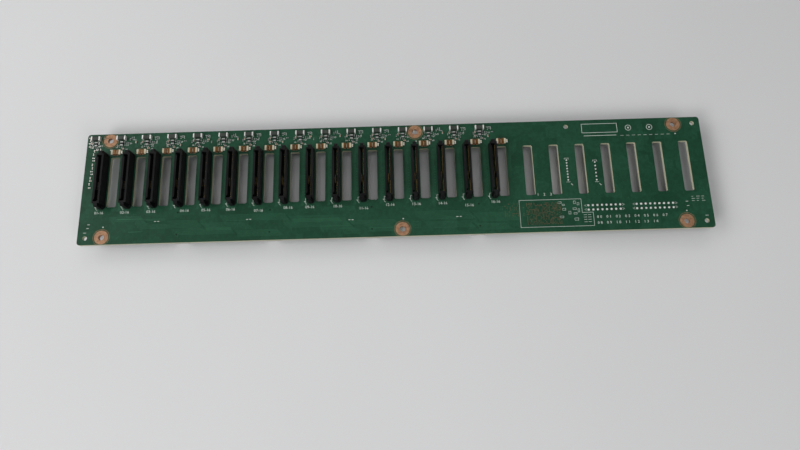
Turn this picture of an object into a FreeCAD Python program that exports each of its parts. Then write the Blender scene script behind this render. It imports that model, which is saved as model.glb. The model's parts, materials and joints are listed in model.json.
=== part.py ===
"""Drive backplane board: a long circuit board with a row of drive receptacles on the front.

Millimetres. X runs along the board, Y across it and Z out of the drive side. The origin is on
the surface that the board lies on, under the middle of the board: the board rests on the tall
connectors and capacitors of its rear side, which end at Z = 0.
"""
import FreeCAD
import Part

import os

import Sketcher

# Driving dimensions, in millimetres and counts. Each row: alias, value, what it is.
SIZES = [
    ("bay_pitch", 17.5, "distance from one drive to the next"),
    ("slot_count", 23, "air slots, one between each pair of bays"),
    ("left_margin", 20.5, "from the board's left end to the first air slot's centre"),
    ("right_margin", 13.3, "from the last air slot's centre to the board's right end"),
    ("upper_margin", 17.3, "from the air slots to the board's upper edge"),
    ("lower_margin", 25.5, "from the air slots to the board's lower edge"),
    ("slot_width", 6.2, "air slot along X"),
    ("slot_length", 35.2, "air slot along Y"),
    ("slot_corner", 0.7, "corner relief of an air slot"),
    ("board_thick", 2.4, "laminate thickness"),
    ("board_corner", 2.0, "corner radius of the board"),
    ("standoff", 10.5, "tall rear parts, from the board's back face to the rest surface"),
    ("screw_hole", 3.8, "diameter of the six mounting holes"),
    ("screw_left", 15.9, "mounting holes from the left end"),
    ("screw_right", 17.9, "mounting holes from the right end"),
    ("screw_edge", 4.9, "mounting holes from the upper and lower edges"),
    ("tooling_hole", 3.0, "diameter of the tooling holes"),
    ("tooling_end", 5.1, "tooling holes from the ends"),
    ("tooling_edge", 4.6, "tooling holes from the upper and lower edges"),
    ("connector_gap", 1.0, "from an air slot to the receptacle beside it"),
    ("connector_shift", 0.5, "receptacles above the air slots' centre line"),
    ("housing_width", 4.9, "receptacle housing along X"),
    ("housing_height", 8.4, "receptacle housing above the board"),
    ("foot_height", 2.2, "foot of the housing"),
    ("foot_corner", 1.2, "bevelled corners of the foot"),
    ("guide_length", 2.3, "guide rib at each end of the upper block, along Y"),
    ("guide_width", 2.4, "guide rib, along X"),
    ("guide_lead", 0.9, "lead-in bevel of the guide ribs"),
    ("end_wall", 1.1, "wall between the tongue slot and a guide rib"),
    ("tongue_gap", 1.9, "slot for the drive's tongue, across"),
    ("tongue_margin", 1.0, "from the outermost contact's centre to the slot's end"),
    ("tongue_key", 0.8, "keyed leg at each end of the tongue slot, across"),
    ("tongue_key_length", 1.5, "keyed leg, along"),
    ("bridge_step", 0.55, "how far the bridge behind the second port narrows the slot"),
    ("segment_gap", 5.0, "from the last signal contact to the first power contact"),
    ("contact_pitch", 1.27, "contact pitch of both segments"),
    ("contact_width", 0.7, "contact along Y"),
    ("contact_thick", 0.25, "contact strip thickness"),
    ("contact_recess", 1.6, "contact tip inside the housing's mouth"),
    ("port_pitch", 0.8, "second port contact pitch"),
    ("port_width", 0.4, "second port contact along Y"),
    ("light_gap", 2.0, "from an air slot to the status lights above it"),
    ("light_width", 2.9, "status light body along X"),
    ("light_length", 3.4, "status light body along Y"),
    ("light_height", 1.1, "status light body height"),
    ("light_between", 0.6, "gap between the two lights of a bay"),
    ("fuse_length", 6.1, "bay fuse along X"),
    ("fuse_width", 2.7, "bay fuse along Y"),
    ("fuse_height", 2.5, "bay fuse height"),
    ("fuse_edge", 2.3, "bay fuses from the upper edge"),
    ("fuse_back", 14.2, "bay fuse from the air slot of its bay, towards the left end"),
    ("link_edge", 2.1, "link connectors from the lower edge"),
    ("link_width", 9.4, "link connector shell along X"),
    ("link_length", 21.8, "link connector shell along Y"),
    ("link_wall", 0.4, "sheet thickness of the shell"),
    ("link_base", 3.2, "insert's base against the board"),
    ("link_setback", 1.4, "insert's tower inside the shell's mouth"),
    ("link_card_gap", 1.3, "card slot in the tower, across"),
    ("link_card_length", 15.2, "card slot in the tower, along"),
    ("link_card_depth", 5.2, "card slot depth"),
    ("link_tower_side", 1.55, "tower wall beside the card slot"),
    ("link_tower_end", 1.1, "tower wall at the ends of the card slot"),
    ("link_window", 3.0, "latch window, square, in one long wall of the shell"),
    ("link_window_spacing", 11.0, "the two latch windows, centre to centre"),
    ("supply_pitch", 3.0, "power header pin pitch, both ways"),
    ("supply_end", 3.3, "power header, last pin to the end of the housing"),
    ("supply_side", 2.2, "power header, pin row to the side of the housing"),
    ("supply_height", 9.9, "power header off the board"),
    ("supply_wall", 0.9, "power header wall"),
    ("supply_floor", 1.7, "power header floor"),
    ("supply_drop", 6.0, "from the air slots down to the power headers"),
    ("supply_right", 22.2, "from the right end to the nearer power header"),
    ("supply_between", 4.2, "gap between the two power headers"),
    ("supply_ramp_width", 5.4, "latch ramp along X"),
    ("supply_ramp_depth", 1.2, "latch ramp out from the wall"),
    ("supply_ramp_height", 3.4, "latch ramp along Z"),
    ("left_supply_pins", 8, "columns of pins in the left power header"),
    ("right_supply_pins", 9, "columns of pins in the right power header"),
    ("pin_side", 0.64, "square header pin"),
    ("pin_setback", 2.2, "pin tip inside the mouth of its header"),
    ("panel_pins", 8, "pins of the panel header"),
    ("panel_pitch", 2.0, "panel header pin pitch"),
    ("panel_width", 4.5, "panel header along X"),
    ("panel_height", 6.0, "panel header off the board"),
    ("panel_shift", -0.8, "panel header above the air slots' centre line"),
    ("service_pins", 6, "pins of the service header"),
    ("service_pitch", 2.5, "service header pin pitch"),
    ("service_width", 5.8, "service header along X"),
    ("service_height", 7.0, "service header off the board"),
    ("service_shift", -2.0, "service header above the air slots' centre line"),
    ("small_end", 1.95, "small headers, last pin to the end of the housing"),
    ("small_wall", 0.7, "small header wall"),
    ("small_floor", 1.2, "small header floor"),
    ("chip_side", 19.0, "chip substrate, square"),
    ("chip_substrate", 1.1, "chip substrate thickness with its solder balls"),
    ("chip_lid_side", 16.0, "chip lid, square"),
    ("chip_lid_corner", 1.2, "chip lid bevelled corners"),
    ("chip_lid", 1.0, "chip lid thickness"),
    ("chip_shift", 4.4, "chip left of the middle of its heat sink"),
    ("sink_between", 3.0, "gap between the heat sink and the nearer power header"),
    ("sink_edge", 2.1, "heat sink from the lower edge"),
    ("sink_length", 38.4, "heat sink along X"),
    ("sink_width", 21.0, "heat sink along Y"),
    ("sink_plate", 1.6, "heat sink base plate"),
    ("sink_clear", 1.0, "fin tips above the rest surface"),
    ("fin_count", 13, "heat sink fins"),
    ("fin_thick", 0.9, "fin thickness"),
    ("can_diameter", 10.0, "bulk capacitor can"),
    ("can_edge", 4.1, "bulk capacitor cans from the upper edge"),
    ("can_base_rim", 0.15, "how far the moulded base stands out past the can"),
    ("can_base_height", 1.2, "bulk capacitor base"),
    ("can_base_corner", 1.6, "two bevelled corners of the base"),
    ("can_lip", 0.6, "bevelled end edge of the can"),
    ("coil_side", 10.2, "power inductor, square"),
    ("coil_corner", 1.6, "power inductor bevelled corners"),
    ("coil_height", 4.6, "power inductor off the board"),
    ("coil_edge", 4.3, "power inductors from the upper edge"),
    ("driver_length", 9.0, "voltage regulator along X"),
    ("driver_width", 6.0, "voltage regulator along Y"),
    ("driver_height", 1.7, "voltage regulator off the board"),
    ("driver_edge", 6.4, "voltage regulators from the upper edge"),
]

# Places along X of what follows no pitch of its own, in air slots counted from the first as 1.
UPPER_SCREW = 12.67
LOWER_SCREW = 12.09
UPPER_TOOLING = 18.56
LINK_PLACES = (3.57, 7.08, 10.94, 15.0)
PANEL_PLACE = 18.46
SERVICE_PLACE = 19.54
CAN_PLACES = (2.65, 7.79, 15.91, 20.94)
COIL_PLACES = (5.22, 10.08, 19.34)
DRIVER_PLACES = (6.08, 9.22, 17.57, 20.08)

DRIVES_FITTED = 16
POWER_CONTACTS = 15
SIGNAL_CONTACTS = 7
PORT_CONTACTS = 7

document = FreeCAD.newDocument("DriveBackplane")
sheet = document.addObject("Spreadsheet::Sheet", "Sizes")


class Size:
    """A number together with the sheet expression that gives it."""

    def __init__(self, value, text):
        self.value = value
        self.text = text

    def joined(self, other, sign, value):
        text = other.text if isinstance(other, Size) else repr(other)
        return Size(value, f"({self.text} {sign} {text})")

    def __add__(self, other):
        return self.joined(other, "+", self.value + plain(other))

    def __sub__(self, other):
        return self.joined(other, "-", self.value - plain(other))

    def __mul__(self, other):
        return self.joined(other, "*", self.value * plain(other))

    def __truediv__(self, other):
        return self.joined(other, "/", self.value / plain(other))

    def __neg__(self):
        return self * -1


def plain(number):
    """The plain value of a Size or of a number."""
    return number.value if isinstance(number, Size) else number


def fill_sheet():
    """Writes the driving dimensions to the sheet and returns them by name."""
    sizes = {}
    for row, (alias, value, meaning) in enumerate(SIZES, start=1):
        sheet.set(f"A{row}", meaning)
        sheet.set(f"B{row}", str(value))
        sheet.setAlias(f"B{row}", alias)
        sizes[alias] = Size(value, f"Sizes.{alias}")
    document.recompute()
    return sizes


S = fill_sheet()
ZERO = Size(0.0, "0")
board_length = S["left_margin"] + S["bay_pitch"] * (S["slot_count"] - 1) + S["right_margin"]
board_width = S["lower_margin"] + S["slot_length"] + S["upper_margin"]
board_front = S["standoff"] + S["board_thick"]
right_end = board_length / 2
upper_edge = board_width / 2
slot_start = S["left_margin"] - right_end
slot_middle = S["lower_margin"] + S["slot_length"] / 2 - upper_edge
slot_upper_end = slot_middle + S["slot_length"] / 2
slot_lower_end = slot_middle - S["slot_length"] / 2
power_row = S["contact_pitch"] * (POWER_CONTACTS - 1)
signal_row = S["contact_pitch"] * (SIGNAL_CONTACTS - 1)
port_row = S["port_pitch"] * (PORT_CONTACTS - 1)
contact_end = (power_row + S["segment_gap"] + signal_row) / 2
port_middle = (signal_row - power_row) / 2
tongue_length = (contact_end + S["tongue_margin"]) * 2
mating_length = tongue_length + S["end_wall"] * 2
housing_length = mating_length + S["guide_length"] * 2


def bind(thing, name, size):
    """Gives a property its value, tied to the sheet where the value is a Size."""
    if isinstance(size, Size):
        thing.setExpression(name, size.text)
    else:
        thing.setExpression(name, repr(size))


def place(thing, x=0.0, y=0.0, z=0.0):
    """Places an object, tied to the sheet."""
    thing.Placement = FreeCAD.Placement(
        FreeCAD.Vector(plain(x), plain(y), plain(z)), FreeCAD.Rotation()
    )
    bind(thing, "Placement.Base.x", x)
    bind(thing, "Placement.Base.y", y)
    bind(thing, "Placement.Base.z", z)


def new_body(name):
    return document.addObject("PartDesign::Body", name)


def origin_plane(body, role):
    """One of a body's own origin planes or axes."""
    return next(item for item in body.Origin.OriginFeatures if item.Role == role)


def new_sketch(body, name, height=0.0):
    """A sketch parallel to the body's XY plane, at a height."""
    sketch = body.newObject("Sketcher::SketchObject", name)
    sketch.AttachmentSupport = [(origin_plane(body, "XY_Plane"), "")]
    sketch.MapMode = "FlatFace"
    bind(sketch, "AttachmentOffset.Base.z", height)
    return sketch


def fix_point(sketch, geometry, end, x, y):
    """Ties one end of a line, or a circle's centre, to its place."""
    for kind, size in (("DistanceX", x), ("DistanceY", y)):
        index = sketch.addConstraint(
            Sketcher.Constraint(kind, -1, 1, geometry, end, plain(size))
        )
        bind(sketch, f"Constraints[{index}]", size)


def add_outline(sketch, corners):
    """A closed outline of straight edges through the given corners."""
    first = sketch.GeometryCount
    count = len(corners)
    points = [FreeCAD.Vector(plain(x), plain(y), 0) for x, y in corners]
    for index in range(count):
        sketch.addGeometry(Part.LineSegment(points[index], points[(index + 1) % count]), False)
    for index in range(count):
        following = first + (index + 1) % count
        sketch.addConstraint(Sketcher.Constraint("Coincident", first + index, 2, following, 1))
        fix_point(sketch, first + index, 1, *corners[index])


def add_rectangle(sketch, centre_x, centre_y, size_x, size_y):
    """A rectangle about its centre."""
    half_x = size_x / 2
    half_y = size_y / 2
    add_outline(
        sketch,
        [
            (centre_x - half_x, centre_y - half_y),
            (centre_x + half_x, centre_y - half_y),
            (centre_x + half_x, centre_y + half_y),
            (centre_x - half_x, centre_y + half_y),
        ],
    )


def add_bevelled_rectangle(sketch, centre_x, centre_y, size_x, size_y, bevel):
    """A rectangle about its centre with its four corners cut off."""
    half_x = size_x / 2
    half_y = size_y / 2
    inner_x = half_x - bevel
    inner_y = half_y - bevel
    add_outline(
        sketch,
        [
            (centre_x - inner_x, centre_y - half_y),
            (centre_x + inner_x, centre_y - half_y),
            (centre_x + half_x, centre_y - inner_y),
            (centre_x + half_x, centre_y + inner_y),
            (centre_x + inner_x, centre_y + half_y),
            (centre_x - inner_x, centre_y + half_y),
            (centre_x - half_x, centre_y + inner_y),
            (centre_x - half_x, centre_y - inner_y),
        ],
    )


def add_circle(sketch, centre_x, centre_y, diameter):
    index = sketch.addGeometry(
        Part.Circle(
            FreeCAD.Vector(plain(centre_x), plain(centre_y), 0),
            FreeCAD.Vector(0, 0, 1),
            plain(diameter) / 2,
        ),
        False,
    )
    fix_point(sketch, index, 3, centre_x, centre_y)
    width = sketch.addConstraint(Sketcher.Constraint("Diameter", index, plain(diameter)))
    bind(sketch, f"Constraints[{width}]", diameter)


def pad(body, sketch, length, downwards=False):
    feature = body.newObject("PartDesign::Pad", f"{sketch.Name}_pad")
    feature.Profile = sketch
    feature.Reversed = downwards
    bind(feature, "Length", length)
    body.Tip = feature
    return feature


def pocket(body, sketch, length, upwards=False):
    """A pocket that cuts down from its sketch, or up."""
    feature = body.newObject("PartDesign::Pocket", f"{sketch.Name}_pocket")
    feature.Profile = sketch
    feature.Reversed = upwards
    bind(feature, "Length", length)
    body.Tip = feature
    return feature


def row_pattern(body, feature, axis, spacing, count):
    """Repeats a feature along one of the body's axes."""
    pattern = body.newObject("PartDesign::LinearPattern", f"{feature.Name}_row")
    pattern.Originals = [feature]
    pattern.Direction = (origin_plane(body, axis), [""])
    pattern.Mode = "Extent"
    bind(pattern, "Length", spacing * (count - 1))
    bind(pattern, "Occurrences", count)
    body.Tip = pattern
    return pattern


def edges_where(shape, test):
    """Names of the straight edges whose two ends pass a test."""
    names = []
    for number, edge in enumerate(shape.Edges, start=1):
        if edge.Curve.TypeId != "Part::GeomLine":
            continue
        if test(edge.Vertexes[0].Point, edge.Vertexes[1].Point):
            names.append(f"Edge{number}")
    return names


def block(name, x, y, z, size_x, size_y, size_z):
    """A plain block about a centre in X and Y, from Z up."""
    box = document.addObject("Part::Box", name)
    bind(box, "Length", size_x)
    bind(box, "Width", size_y)
    bind(box, "Height", size_z)
    place(box, x - size_x / 2, y - size_y / 2, z)
    return box


def group(name, members, x=0.0, y=0.0, z=0.0):
    """One node of separate solids."""
    compound = document.addObject("Part::Compound", name)
    compound.Links = members
    place(compound, x, y, z)
    compound.Label = name
    return compound


def slot_x(number):
    """Centre of an air slot along X, counted from 1. A fraction is a place between two slots."""
    return slot_start + S["bay_pitch"] * (number - 1)


def connector_x(number):
    """Centre of a drive receptacle along X, counted from 1."""
    offset = S["slot_width"] / 2 + S["connector_gap"] + S["housing_width"] / 2
    return slot_x(number) - offset


# ---------------------------------------------------------------- the board

def make_board():
    """The laminate: outline with rounded corners, air slots, screw and tooling holes."""
    body = new_body("backplane_board")
    outline = new_sketch(body, "board_outline")
    add_rectangle(outline, ZERO, ZERO, board_length, board_width)
    plate = pad(body, outline, S["board_thick"])
    document.recompute()

    def is_corner(one, other):
        return abs(one.x - other.x) + abs(one.y - other.y) < 1e-6

    rounding = body.newObject("PartDesign::Fillet", "board_corners")
    rounding.Base = (plate, edges_where(plate.Shape, is_corner))
    bind(rounding, "Radius", S["board_corner"])
    body.Tip = rounding

    slot = new_sketch(body, "air_slot", S["board_thick"])
    add_bevelled_rectangle(
        slot, slot_start, slot_middle, S["slot_width"], S["slot_length"], S["slot_corner"]
    )
    cut = pocket(body, slot, S["board_thick"])
    row_pattern(body, cut, "X_Axis", S["bay_pitch"], S["slot_count"])

    screw_y = upper_edge - S["screw_edge"]
    screw_left = S["screw_left"] - right_end
    screw_right = right_end - S["screw_right"]
    tooling_x = right_end - S["tooling_end"]
    tooling_y = upper_edge - S["tooling_edge"]
    screws = [
        (screw_left, screw_y),
        (slot_x(UPPER_SCREW), screw_y),
        (screw_right, screw_y),
        (screw_left, -screw_y),
        (slot_x(LOWER_SCREW), -screw_y),
        (screw_right, -screw_y),
    ]
    tooling = [
        (slot_x(UPPER_TOOLING), tooling_y),
        (tooling_x, tooling_y),
        (-tooling_x, -tooling_y),
        (tooling_x, -tooling_y),
    ]
    holes = new_sketch(body, "round_holes", S["board_thick"])
    for x, y in screws:
        add_circle(holes, x, y, S["screw_hole"])
    for x, y in tooling:
        add_circle(holes, x, y, S["tooling_hole"])
    pocket(body, holes, S["board_thick"])
    place(body, z=S["standoff"])
    return body


# ------------------------------------------------------- the drive receptacles

def tongue_outline():
    """The tongue slot seen from above: keyed legs at both ends, narrower at the bridge."""
    half = S["tongue_gap"] / 2
    end = tongue_length / 2
    key = -half - S["tongue_key"]
    shoulder = end - S["tongue_key_length"]
    bridge_reach = (port_row + S["port_pitch"]) / 2
    bridge_top = port_middle + bridge_reach
    bridge_bottom = port_middle - bridge_reach
    bridge = S["bridge_step"] - half
    return [
        (half, -end),
        (half, end),
        (key, end),
        (key, shoulder),
        (-half, shoulder),
        (-half, bridge_top),
        (bridge, bridge_top),
        (bridge, bridge_bottom),
        (-half, bridge_bottom),
        (-half, -shoulder),
        (key, -shoulder),
        (key, -end),
    ]


def make_housing():
    """One moulded receptacle housing, about its own middle and standing on Z = 0."""
    body = new_body("housing_master")
    foot = new_sketch(body, "housing_foot")
    add_bevelled_rectangle(
        foot, ZERO, ZERO, S["housing_width"], housing_length, S["foot_corner"]
    )
    pad(body, foot, S["foot_height"])

    half = S["housing_width"] / 2
    rib = S["guide_width"] / 2
    reach = housing_length / 2
    shoulder = mating_length / 2
    upper = new_sketch(body, "housing_upper", S["foot_height"])
    add_outline(
        upper,
        [
            (-half, -shoulder),
            (-rib, -shoulder),
            (-rib, -reach),
            (rib, -reach),
            (rib, -shoulder),
            (half, -shoulder),
            (half, shoulder),
            (rib, shoulder),
            (rib, reach),
            (-rib, reach),
            (-rib, shoulder),
            (-half, shoulder),
        ],
    )
    block_pad = pad(body, upper, S["housing_height"] - S["foot_height"])
    document.recompute()

    top = plain(S["housing_height"])
    end = plain(reach)

    def is_guide_tip(one, other):
        level = abs(one.z - top) < 1e-6 and abs(other.z - top) < 1e-6
        return level and abs(abs(one.y) - end) < 1e-6 and abs(one.y - other.y) < 1e-6

    bevel = body.newObject("PartDesign::Chamfer", "housing_lead_in")
    bevel.Base = (block_pad, edges_where(block_pad.Shape, is_guide_tip))
    bind(bevel, "Size", S["guide_lead"])
    body.Tip = bevel

    tongue = new_sketch(body, "tongue_slot", S["housing_height"])
    add_outline(tongue, tongue_outline())
    pocket(body, tongue, S["housing_height"])
    return body


def make_contact_set():
    """The contacts of one receptacle, standing against both walls of its tongue slot."""
    half = S["tongue_gap"] / 2
    main_x = half - S["contact_thick"] / 2
    port_x = S["bridge_step"] + S["contact_thick"] / 2 - half
    port_start = port_middle - port_row / 2
    main = (main_x, S["contact_pitch"], S["contact_width"])
    port = (port_x, S["port_pitch"], S["port_width"])
    segments = (
        ("power", POWER_CONTACTS, contact_end - power_row, main),
        ("signal", SIGNAL_CONTACTS, -contact_end, main),
        ("port", PORT_CONTACTS, port_start, port),
    )
    height = S["housing_height"] - S["contact_recess"]
    contacts = []
    for segment, count, start, (x, pitch, width) in segments:
        for index in range(count):
            name = f"{segment}_contact_{index + 1}"
            y = start + pitch * index
            contacts.append(block(name, x, y, ZERO, S["contact_thick"], width, height))
    return group("contact_master", contacts)


def make_receptacles():
    housing = make_housing()
    contacts = make_contact_set()
    middle = slot_middle + S["connector_shift"]
    nodes = []
    for number in range(1, DRIVES_FITTED + 1):
        x = connector_x(number)
        for kind, master in (("connector", housing), ("contacts", contacts)):
            nodes.append(group(f"drive_{kind}_{number:02d}", [master], x, middle, board_front))
    return nodes


# ------------------------------------------------------ small parts of the front

def make_lights():
    """Two status lights for each fitted bay, above its air slot."""
    row = slot_upper_end + S["light_gap"] + S["light_length"] / 2
    step = (S["light_width"] + S["light_between"]) / 2
    boxes = []
    for number in range(1, DRIVES_FITTED + 1):
        for side, x in (("left", slot_x(number) - step), ("right", slot_x(number) + step)):
            boxes.append(
                block(
                    f"light_{number}_{side}",
                    x,
                    row,
                    board_front,
                    S["light_width"],
                    S["light_length"],
                    S["light_height"],
                )
            )
    return group("status_lights", boxes)


def make_fuses():
    """One fuse for each fitted bay, along the upper edge."""
    row = upper_edge - S["fuse_edge"] - S["fuse_width"] / 2
    boxes = [
        block(
            f"fuse_{number}",
            slot_x(number) - S["fuse_back"],
            row,
            board_front,
            S["fuse_length"],
            S["fuse_width"],
            S["fuse_height"],
        )
        for number in range(1, DRIVES_FITTED + 1)
    ]
    return group("bay_fuses", boxes)


# ------------------------------------------------------------ rear connectors

def make_link_shell():
    """The folded sheet shell of a link connector: a tube with two latch windows in a wall."""
    body = new_body("link_shell_master")
    outline = new_sketch(body, "shell_outline")
    add_rectangle(outline, ZERO, ZERO, S["link_width"], S["link_length"])
    inner_x = S["link_width"] - S["link_wall"] * 2
    inner_y = S["link_length"] - S["link_wall"] * 2
    add_rectangle(outline, ZERO, ZERO, inner_x, inner_y)
    pad(body, outline, S["standoff"])

    window = body.newObject("Sketcher::SketchObject", "shell_windows")
    window.AttachmentSupport = [(origin_plane(body, "YZ_Plane"), "")]
    window.MapMode = "FlatFace"
    level = S["link_setback"] + S["link_window"] / 2
    half_spacing = S["link_window_spacing"] / 2
    for along in (-half_spacing, half_spacing):
        add_rectangle(window, along, level, S["link_window"], S["link_window"])
    pocket(body, window, S["link_width"], upwards=True)
    return body


def make_link_insert():
    """The moulded insert: a base against the board and a tower with the card slot."""
    body = new_body("link_insert_master")
    seat = S["standoff"] - S["link_base"]
    base = new_sketch(body, "insert_base", seat)
    inner_x = S["link_width"] - S["link_wall"] * 2
    inner_y = S["link_length"] - S["link_wall"] * 2
    add_rectangle(base, ZERO, ZERO, inner_x, inner_y)
    pad(body, base, S["link_base"])
    tower = new_sketch(body, "insert_tower", seat)
    tower_x = S["link_card_gap"] + S["link_tower_side"] * 2
    tower_y = S["link_card_length"] + S["link_tower_end"] * 2
    add_rectangle(tower, ZERO, ZERO, tower_x, tower_y)
    pad(body, tower, seat - S["link_setback"], downwards=True)
    card = new_sketch(body, "insert_card_slot", S["link_setback"])
    add_rectangle(card, ZERO, ZERO, S["link_card_gap"], S["link_card_length"])
    pocket(body, card, S["link_card_depth"], upwards=True)
    return body


def make_links():
    shell = make_link_shell()
    insert = make_link_insert()
    row = S["link_edge"] + S["link_length"] / 2 - upper_edge
    nodes = []
    for number, bay in enumerate(LINK_PLACES, start=1):
        nodes.append(group(f"link_shell_{number}", [shell], slot_x(bay), row))
        nodes.append(group(f"link_insert_{number}", [insert], slot_x(bay), row))
    return nodes


def supply_length(columns):
    """Length of a power header with this many columns of pins."""
    return S["supply_pitch"] * (columns - 1) + S["supply_end"] * 2


def supply_centres():
    """Centres along X of the left and the right power header."""
    left_half = supply_length(S["left_supply_pins"]) / 2
    right_half = supply_length(S["right_supply_pins"]) / 2
    right_x = right_end - S["supply_right"] - right_half
    left_x = right_x - right_half - S["supply_between"] - left_half
    return left_x, right_x


def make_supply_header(name, x, columns):
    """A two-row power header: an open housing with a latch ramp, and its pins."""
    length = supply_length(columns)
    width = S["supply_pitch"] + S["supply_side"] * 2
    row = slot_lower_end - S["supply_drop"] - width / 2
    mouth = S["standoff"] - S["supply_height"]
    body = new_body(f"{name}_housing")
    outline = new_sketch(body, f"{name}_outline", mouth)
    add_rectangle(outline, ZERO, ZERO, length, width)
    pad(body, outline, S["supply_height"])
    ramp = new_sketch(body, f"{name}_ramp", mouth)
    ramp_y = -width / 2 - S["supply_ramp_depth"] / 2
    add_rectangle(ramp, ZERO, ramp_y, S["supply_ramp_width"], S["supply_ramp_depth"])
    pad(body, ramp, S["supply_ramp_height"])
    cavity = new_sketch(body, f"{name}_cavity", mouth)
    inner_x = length - S["supply_wall"] * 2
    inner_y = width - S["supply_wall"] * 2
    add_rectangle(cavity, ZERO, ZERO, inner_x, inner_y)
    pocket(body, cavity, S["supply_height"] - S["supply_floor"], upwards=True)
    pin_rows = new_sketch(body, f"{name}_pin_rows", S["standoff"] - S["supply_floor"])
    row_length = S["supply_pitch"] * (columns - 1)
    row_step = S["supply_pitch"] / 2
    for row_y in (-row_step, row_step):
        add_rectangle(pin_rows, ZERO, row_y, row_length + S["pin_side"], S["pin_side"])
    pocket(body, pin_rows, S["supply_floor"], upwards=True)
    place(body, x, row)

    tip = mouth + S["pin_setback"]
    pins = []
    for column in range(int(plain(columns))):
        for number, row_y in enumerate((-row_step, row_step), start=1):
            pins.append(
                block(
                    f"{name}_pin_{number}_{column + 1}",
                    S["supply_pitch"] * column - row_length / 2,
                    row_y,
                    tip,
                    S["pin_side"],
                    S["pin_side"],
                    S["standoff"] - tip,
                )
            )
    return [body, group(f"{name}_pins", pins, x, row)]


def make_small_header(name, bay, shift, pin_count, pitch, width, height):
    """A one-row header between two air slots: an open housing, and its pins."""
    row_length = pitch * (pin_count - 1)
    length = row_length + S["small_end"] * 2
    mouth = S["standoff"] - height
    body = new_body(f"{name}_housing")
    outline = new_sketch(body, f"{name}_outline", mouth)
    add_rectangle(outline, ZERO, ZERO, width, length)
    pad(body, outline, height)
    cavity = new_sketch(body, f"{name}_cavity", mouth)
    inner_x = width - S["small_wall"] * 2
    inner_y = length - S["small_wall"] * 2
    add_rectangle(cavity, ZERO, ZERO, inner_x, inner_y)
    pocket(body, cavity, height - S["small_floor"], upwards=True)
    pin_row = new_sketch(body, f"{name}_pin_row", S["standoff"] - S["small_floor"])
    add_rectangle(pin_row, ZERO, ZERO, S["pin_side"], row_length + S["pin_side"])
    pocket(body, pin_row, S["small_floor"], upwards=True)
    x = slot_x(bay)
    y = slot_middle + shift
    place(body, x, y)

    tip = mouth + S["pin_setback"]
    pins = [
        block(
            f"{name}_pin_{index + 1}",
            ZERO,
            pitch * index - row_length / 2,
            tip,
            S["pin_side"],
            S["pin_side"],
            S["standoff"] - tip,
        )
        for index in range(int(plain(pin_count)))
    ]
    return [body, group(f"{name}_pins", pins, x, y)]


# ------------------------------------------------------- chip, heat sink, power

def sink_centre():
    """Centre of the heat sink, beside the left power header."""
    left_x = supply_centres()[0]
    header_end = left_x - supply_length(S["left_supply_pins"]) / 2
    x = header_end - S["sink_between"] - S["sink_length"] / 2
    y = S["sink_edge"] + S["sink_width"] / 2 - upper_edge
    return x, y


def make_chip():
    """The expander chip: substrate against the board and a smaller lid."""
    body = new_body("expander_chip")
    substrate = new_sketch(body, "chip_substrate_outline", S["standoff"])
    add_rectangle(substrate, ZERO, ZERO, S["chip_side"], S["chip_side"])
    pad(body, substrate, S["chip_substrate"], downwards=True)
    lid = new_sketch(body, "chip_lid_outline", S["standoff"] - S["chip_substrate"])
    add_bevelled_rectangle(
        lid, ZERO, ZERO, S["chip_lid_side"], S["chip_lid_side"], S["chip_lid_corner"]
    )
    pad(body, lid, S["chip_lid"], downwards=True)
    x, y = sink_centre()
    place(body, x - S["chip_shift"], y)
    return body


def make_heat_sink():
    """The heat sink: a plate glued to the chip's lid, with straight fins."""
    body = new_body("expander_heatsink")
    seat = S["standoff"] - S["chip_substrate"] - S["chip_lid"]
    plate = new_sketch(body, "sink_plate_outline", seat)
    add_rectangle(plate, ZERO, ZERO, S["sink_length"], S["sink_width"])
    pad(body, plate, S["sink_plate"], downwards=True)
    fin_root = seat - S["sink_plate"]
    fin = new_sketch(body, "sink_fin", fin_root)
    first = S["fin_thick"] / 2 - S["sink_length"] / 2
    add_rectangle(fin, first, ZERO, S["fin_thick"], S["sink_width"])
    blade = pad(body, fin, fin_root - S["sink_clear"], downwards=True)
    span = S["sink_length"] - S["fin_thick"]
    row_pattern(body, blade, "X_Axis", span / (S["fin_count"] - 1), S["fin_count"])
    x, y = sink_centre()
    place(body, x, y)
    return body


def make_can():
    """One capacitor can, turned about its own axis, standing on its end at Z = 0."""
    body = new_body("can_master")
    sketch = body.newObject("Sketcher::SketchObject", "can_profile")
    sketch.AttachmentSupport = [(origin_plane(body, "XZ_Plane"), "")]
    sketch.MapMode = "FlatFace"
    radius = S["can_diameter"] / 2
    top = S["standoff"] - S["can_base_height"]
    add_outline(
        sketch,
        [
            (ZERO, ZERO),
            (radius - S["can_lip"], ZERO),
            (radius, S["can_lip"]),
            (radius, top),
            (ZERO, top),
        ],
    )
    turned = body.newObject("PartDesign::Revolution", "can_turned")
    turned.Profile = sketch
    turned.ReferenceAxis = (origin_plane(body, "Z_Axis"), [""])
    turned.Angle = 360
    body.Tip = turned
    return body


def make_can_base():
    """The moulded base plate of a can, with two bevelled corners."""
    body = new_body("can_base_master")
    sketch = new_sketch(body, "can_base_outline", S["standoff"] - S["can_base_height"])
    half = S["can_diameter"] / 2 + S["can_base_rim"]
    inner = half - S["can_base_corner"]
    add_outline(
        sketch,
        [
            (-half, -half),
            (half, -half),
            (half, inner),
            (inner, half),
            (-inner, half),
            (-half, inner),
        ],
    )
    pad(body, sketch, S["can_base_height"])
    return body


def make_coil():
    """One pressed power inductor about its own middle."""
    body = new_body("coil_master")
    sketch = new_sketch(body, "coil_outline", S["standoff"] - S["coil_height"])
    add_bevelled_rectangle(
        sketch, ZERO, ZERO, S["coil_side"], S["coil_side"], S["coil_corner"]
    )
    pad(body, sketch, S["coil_height"])
    return body


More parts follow.
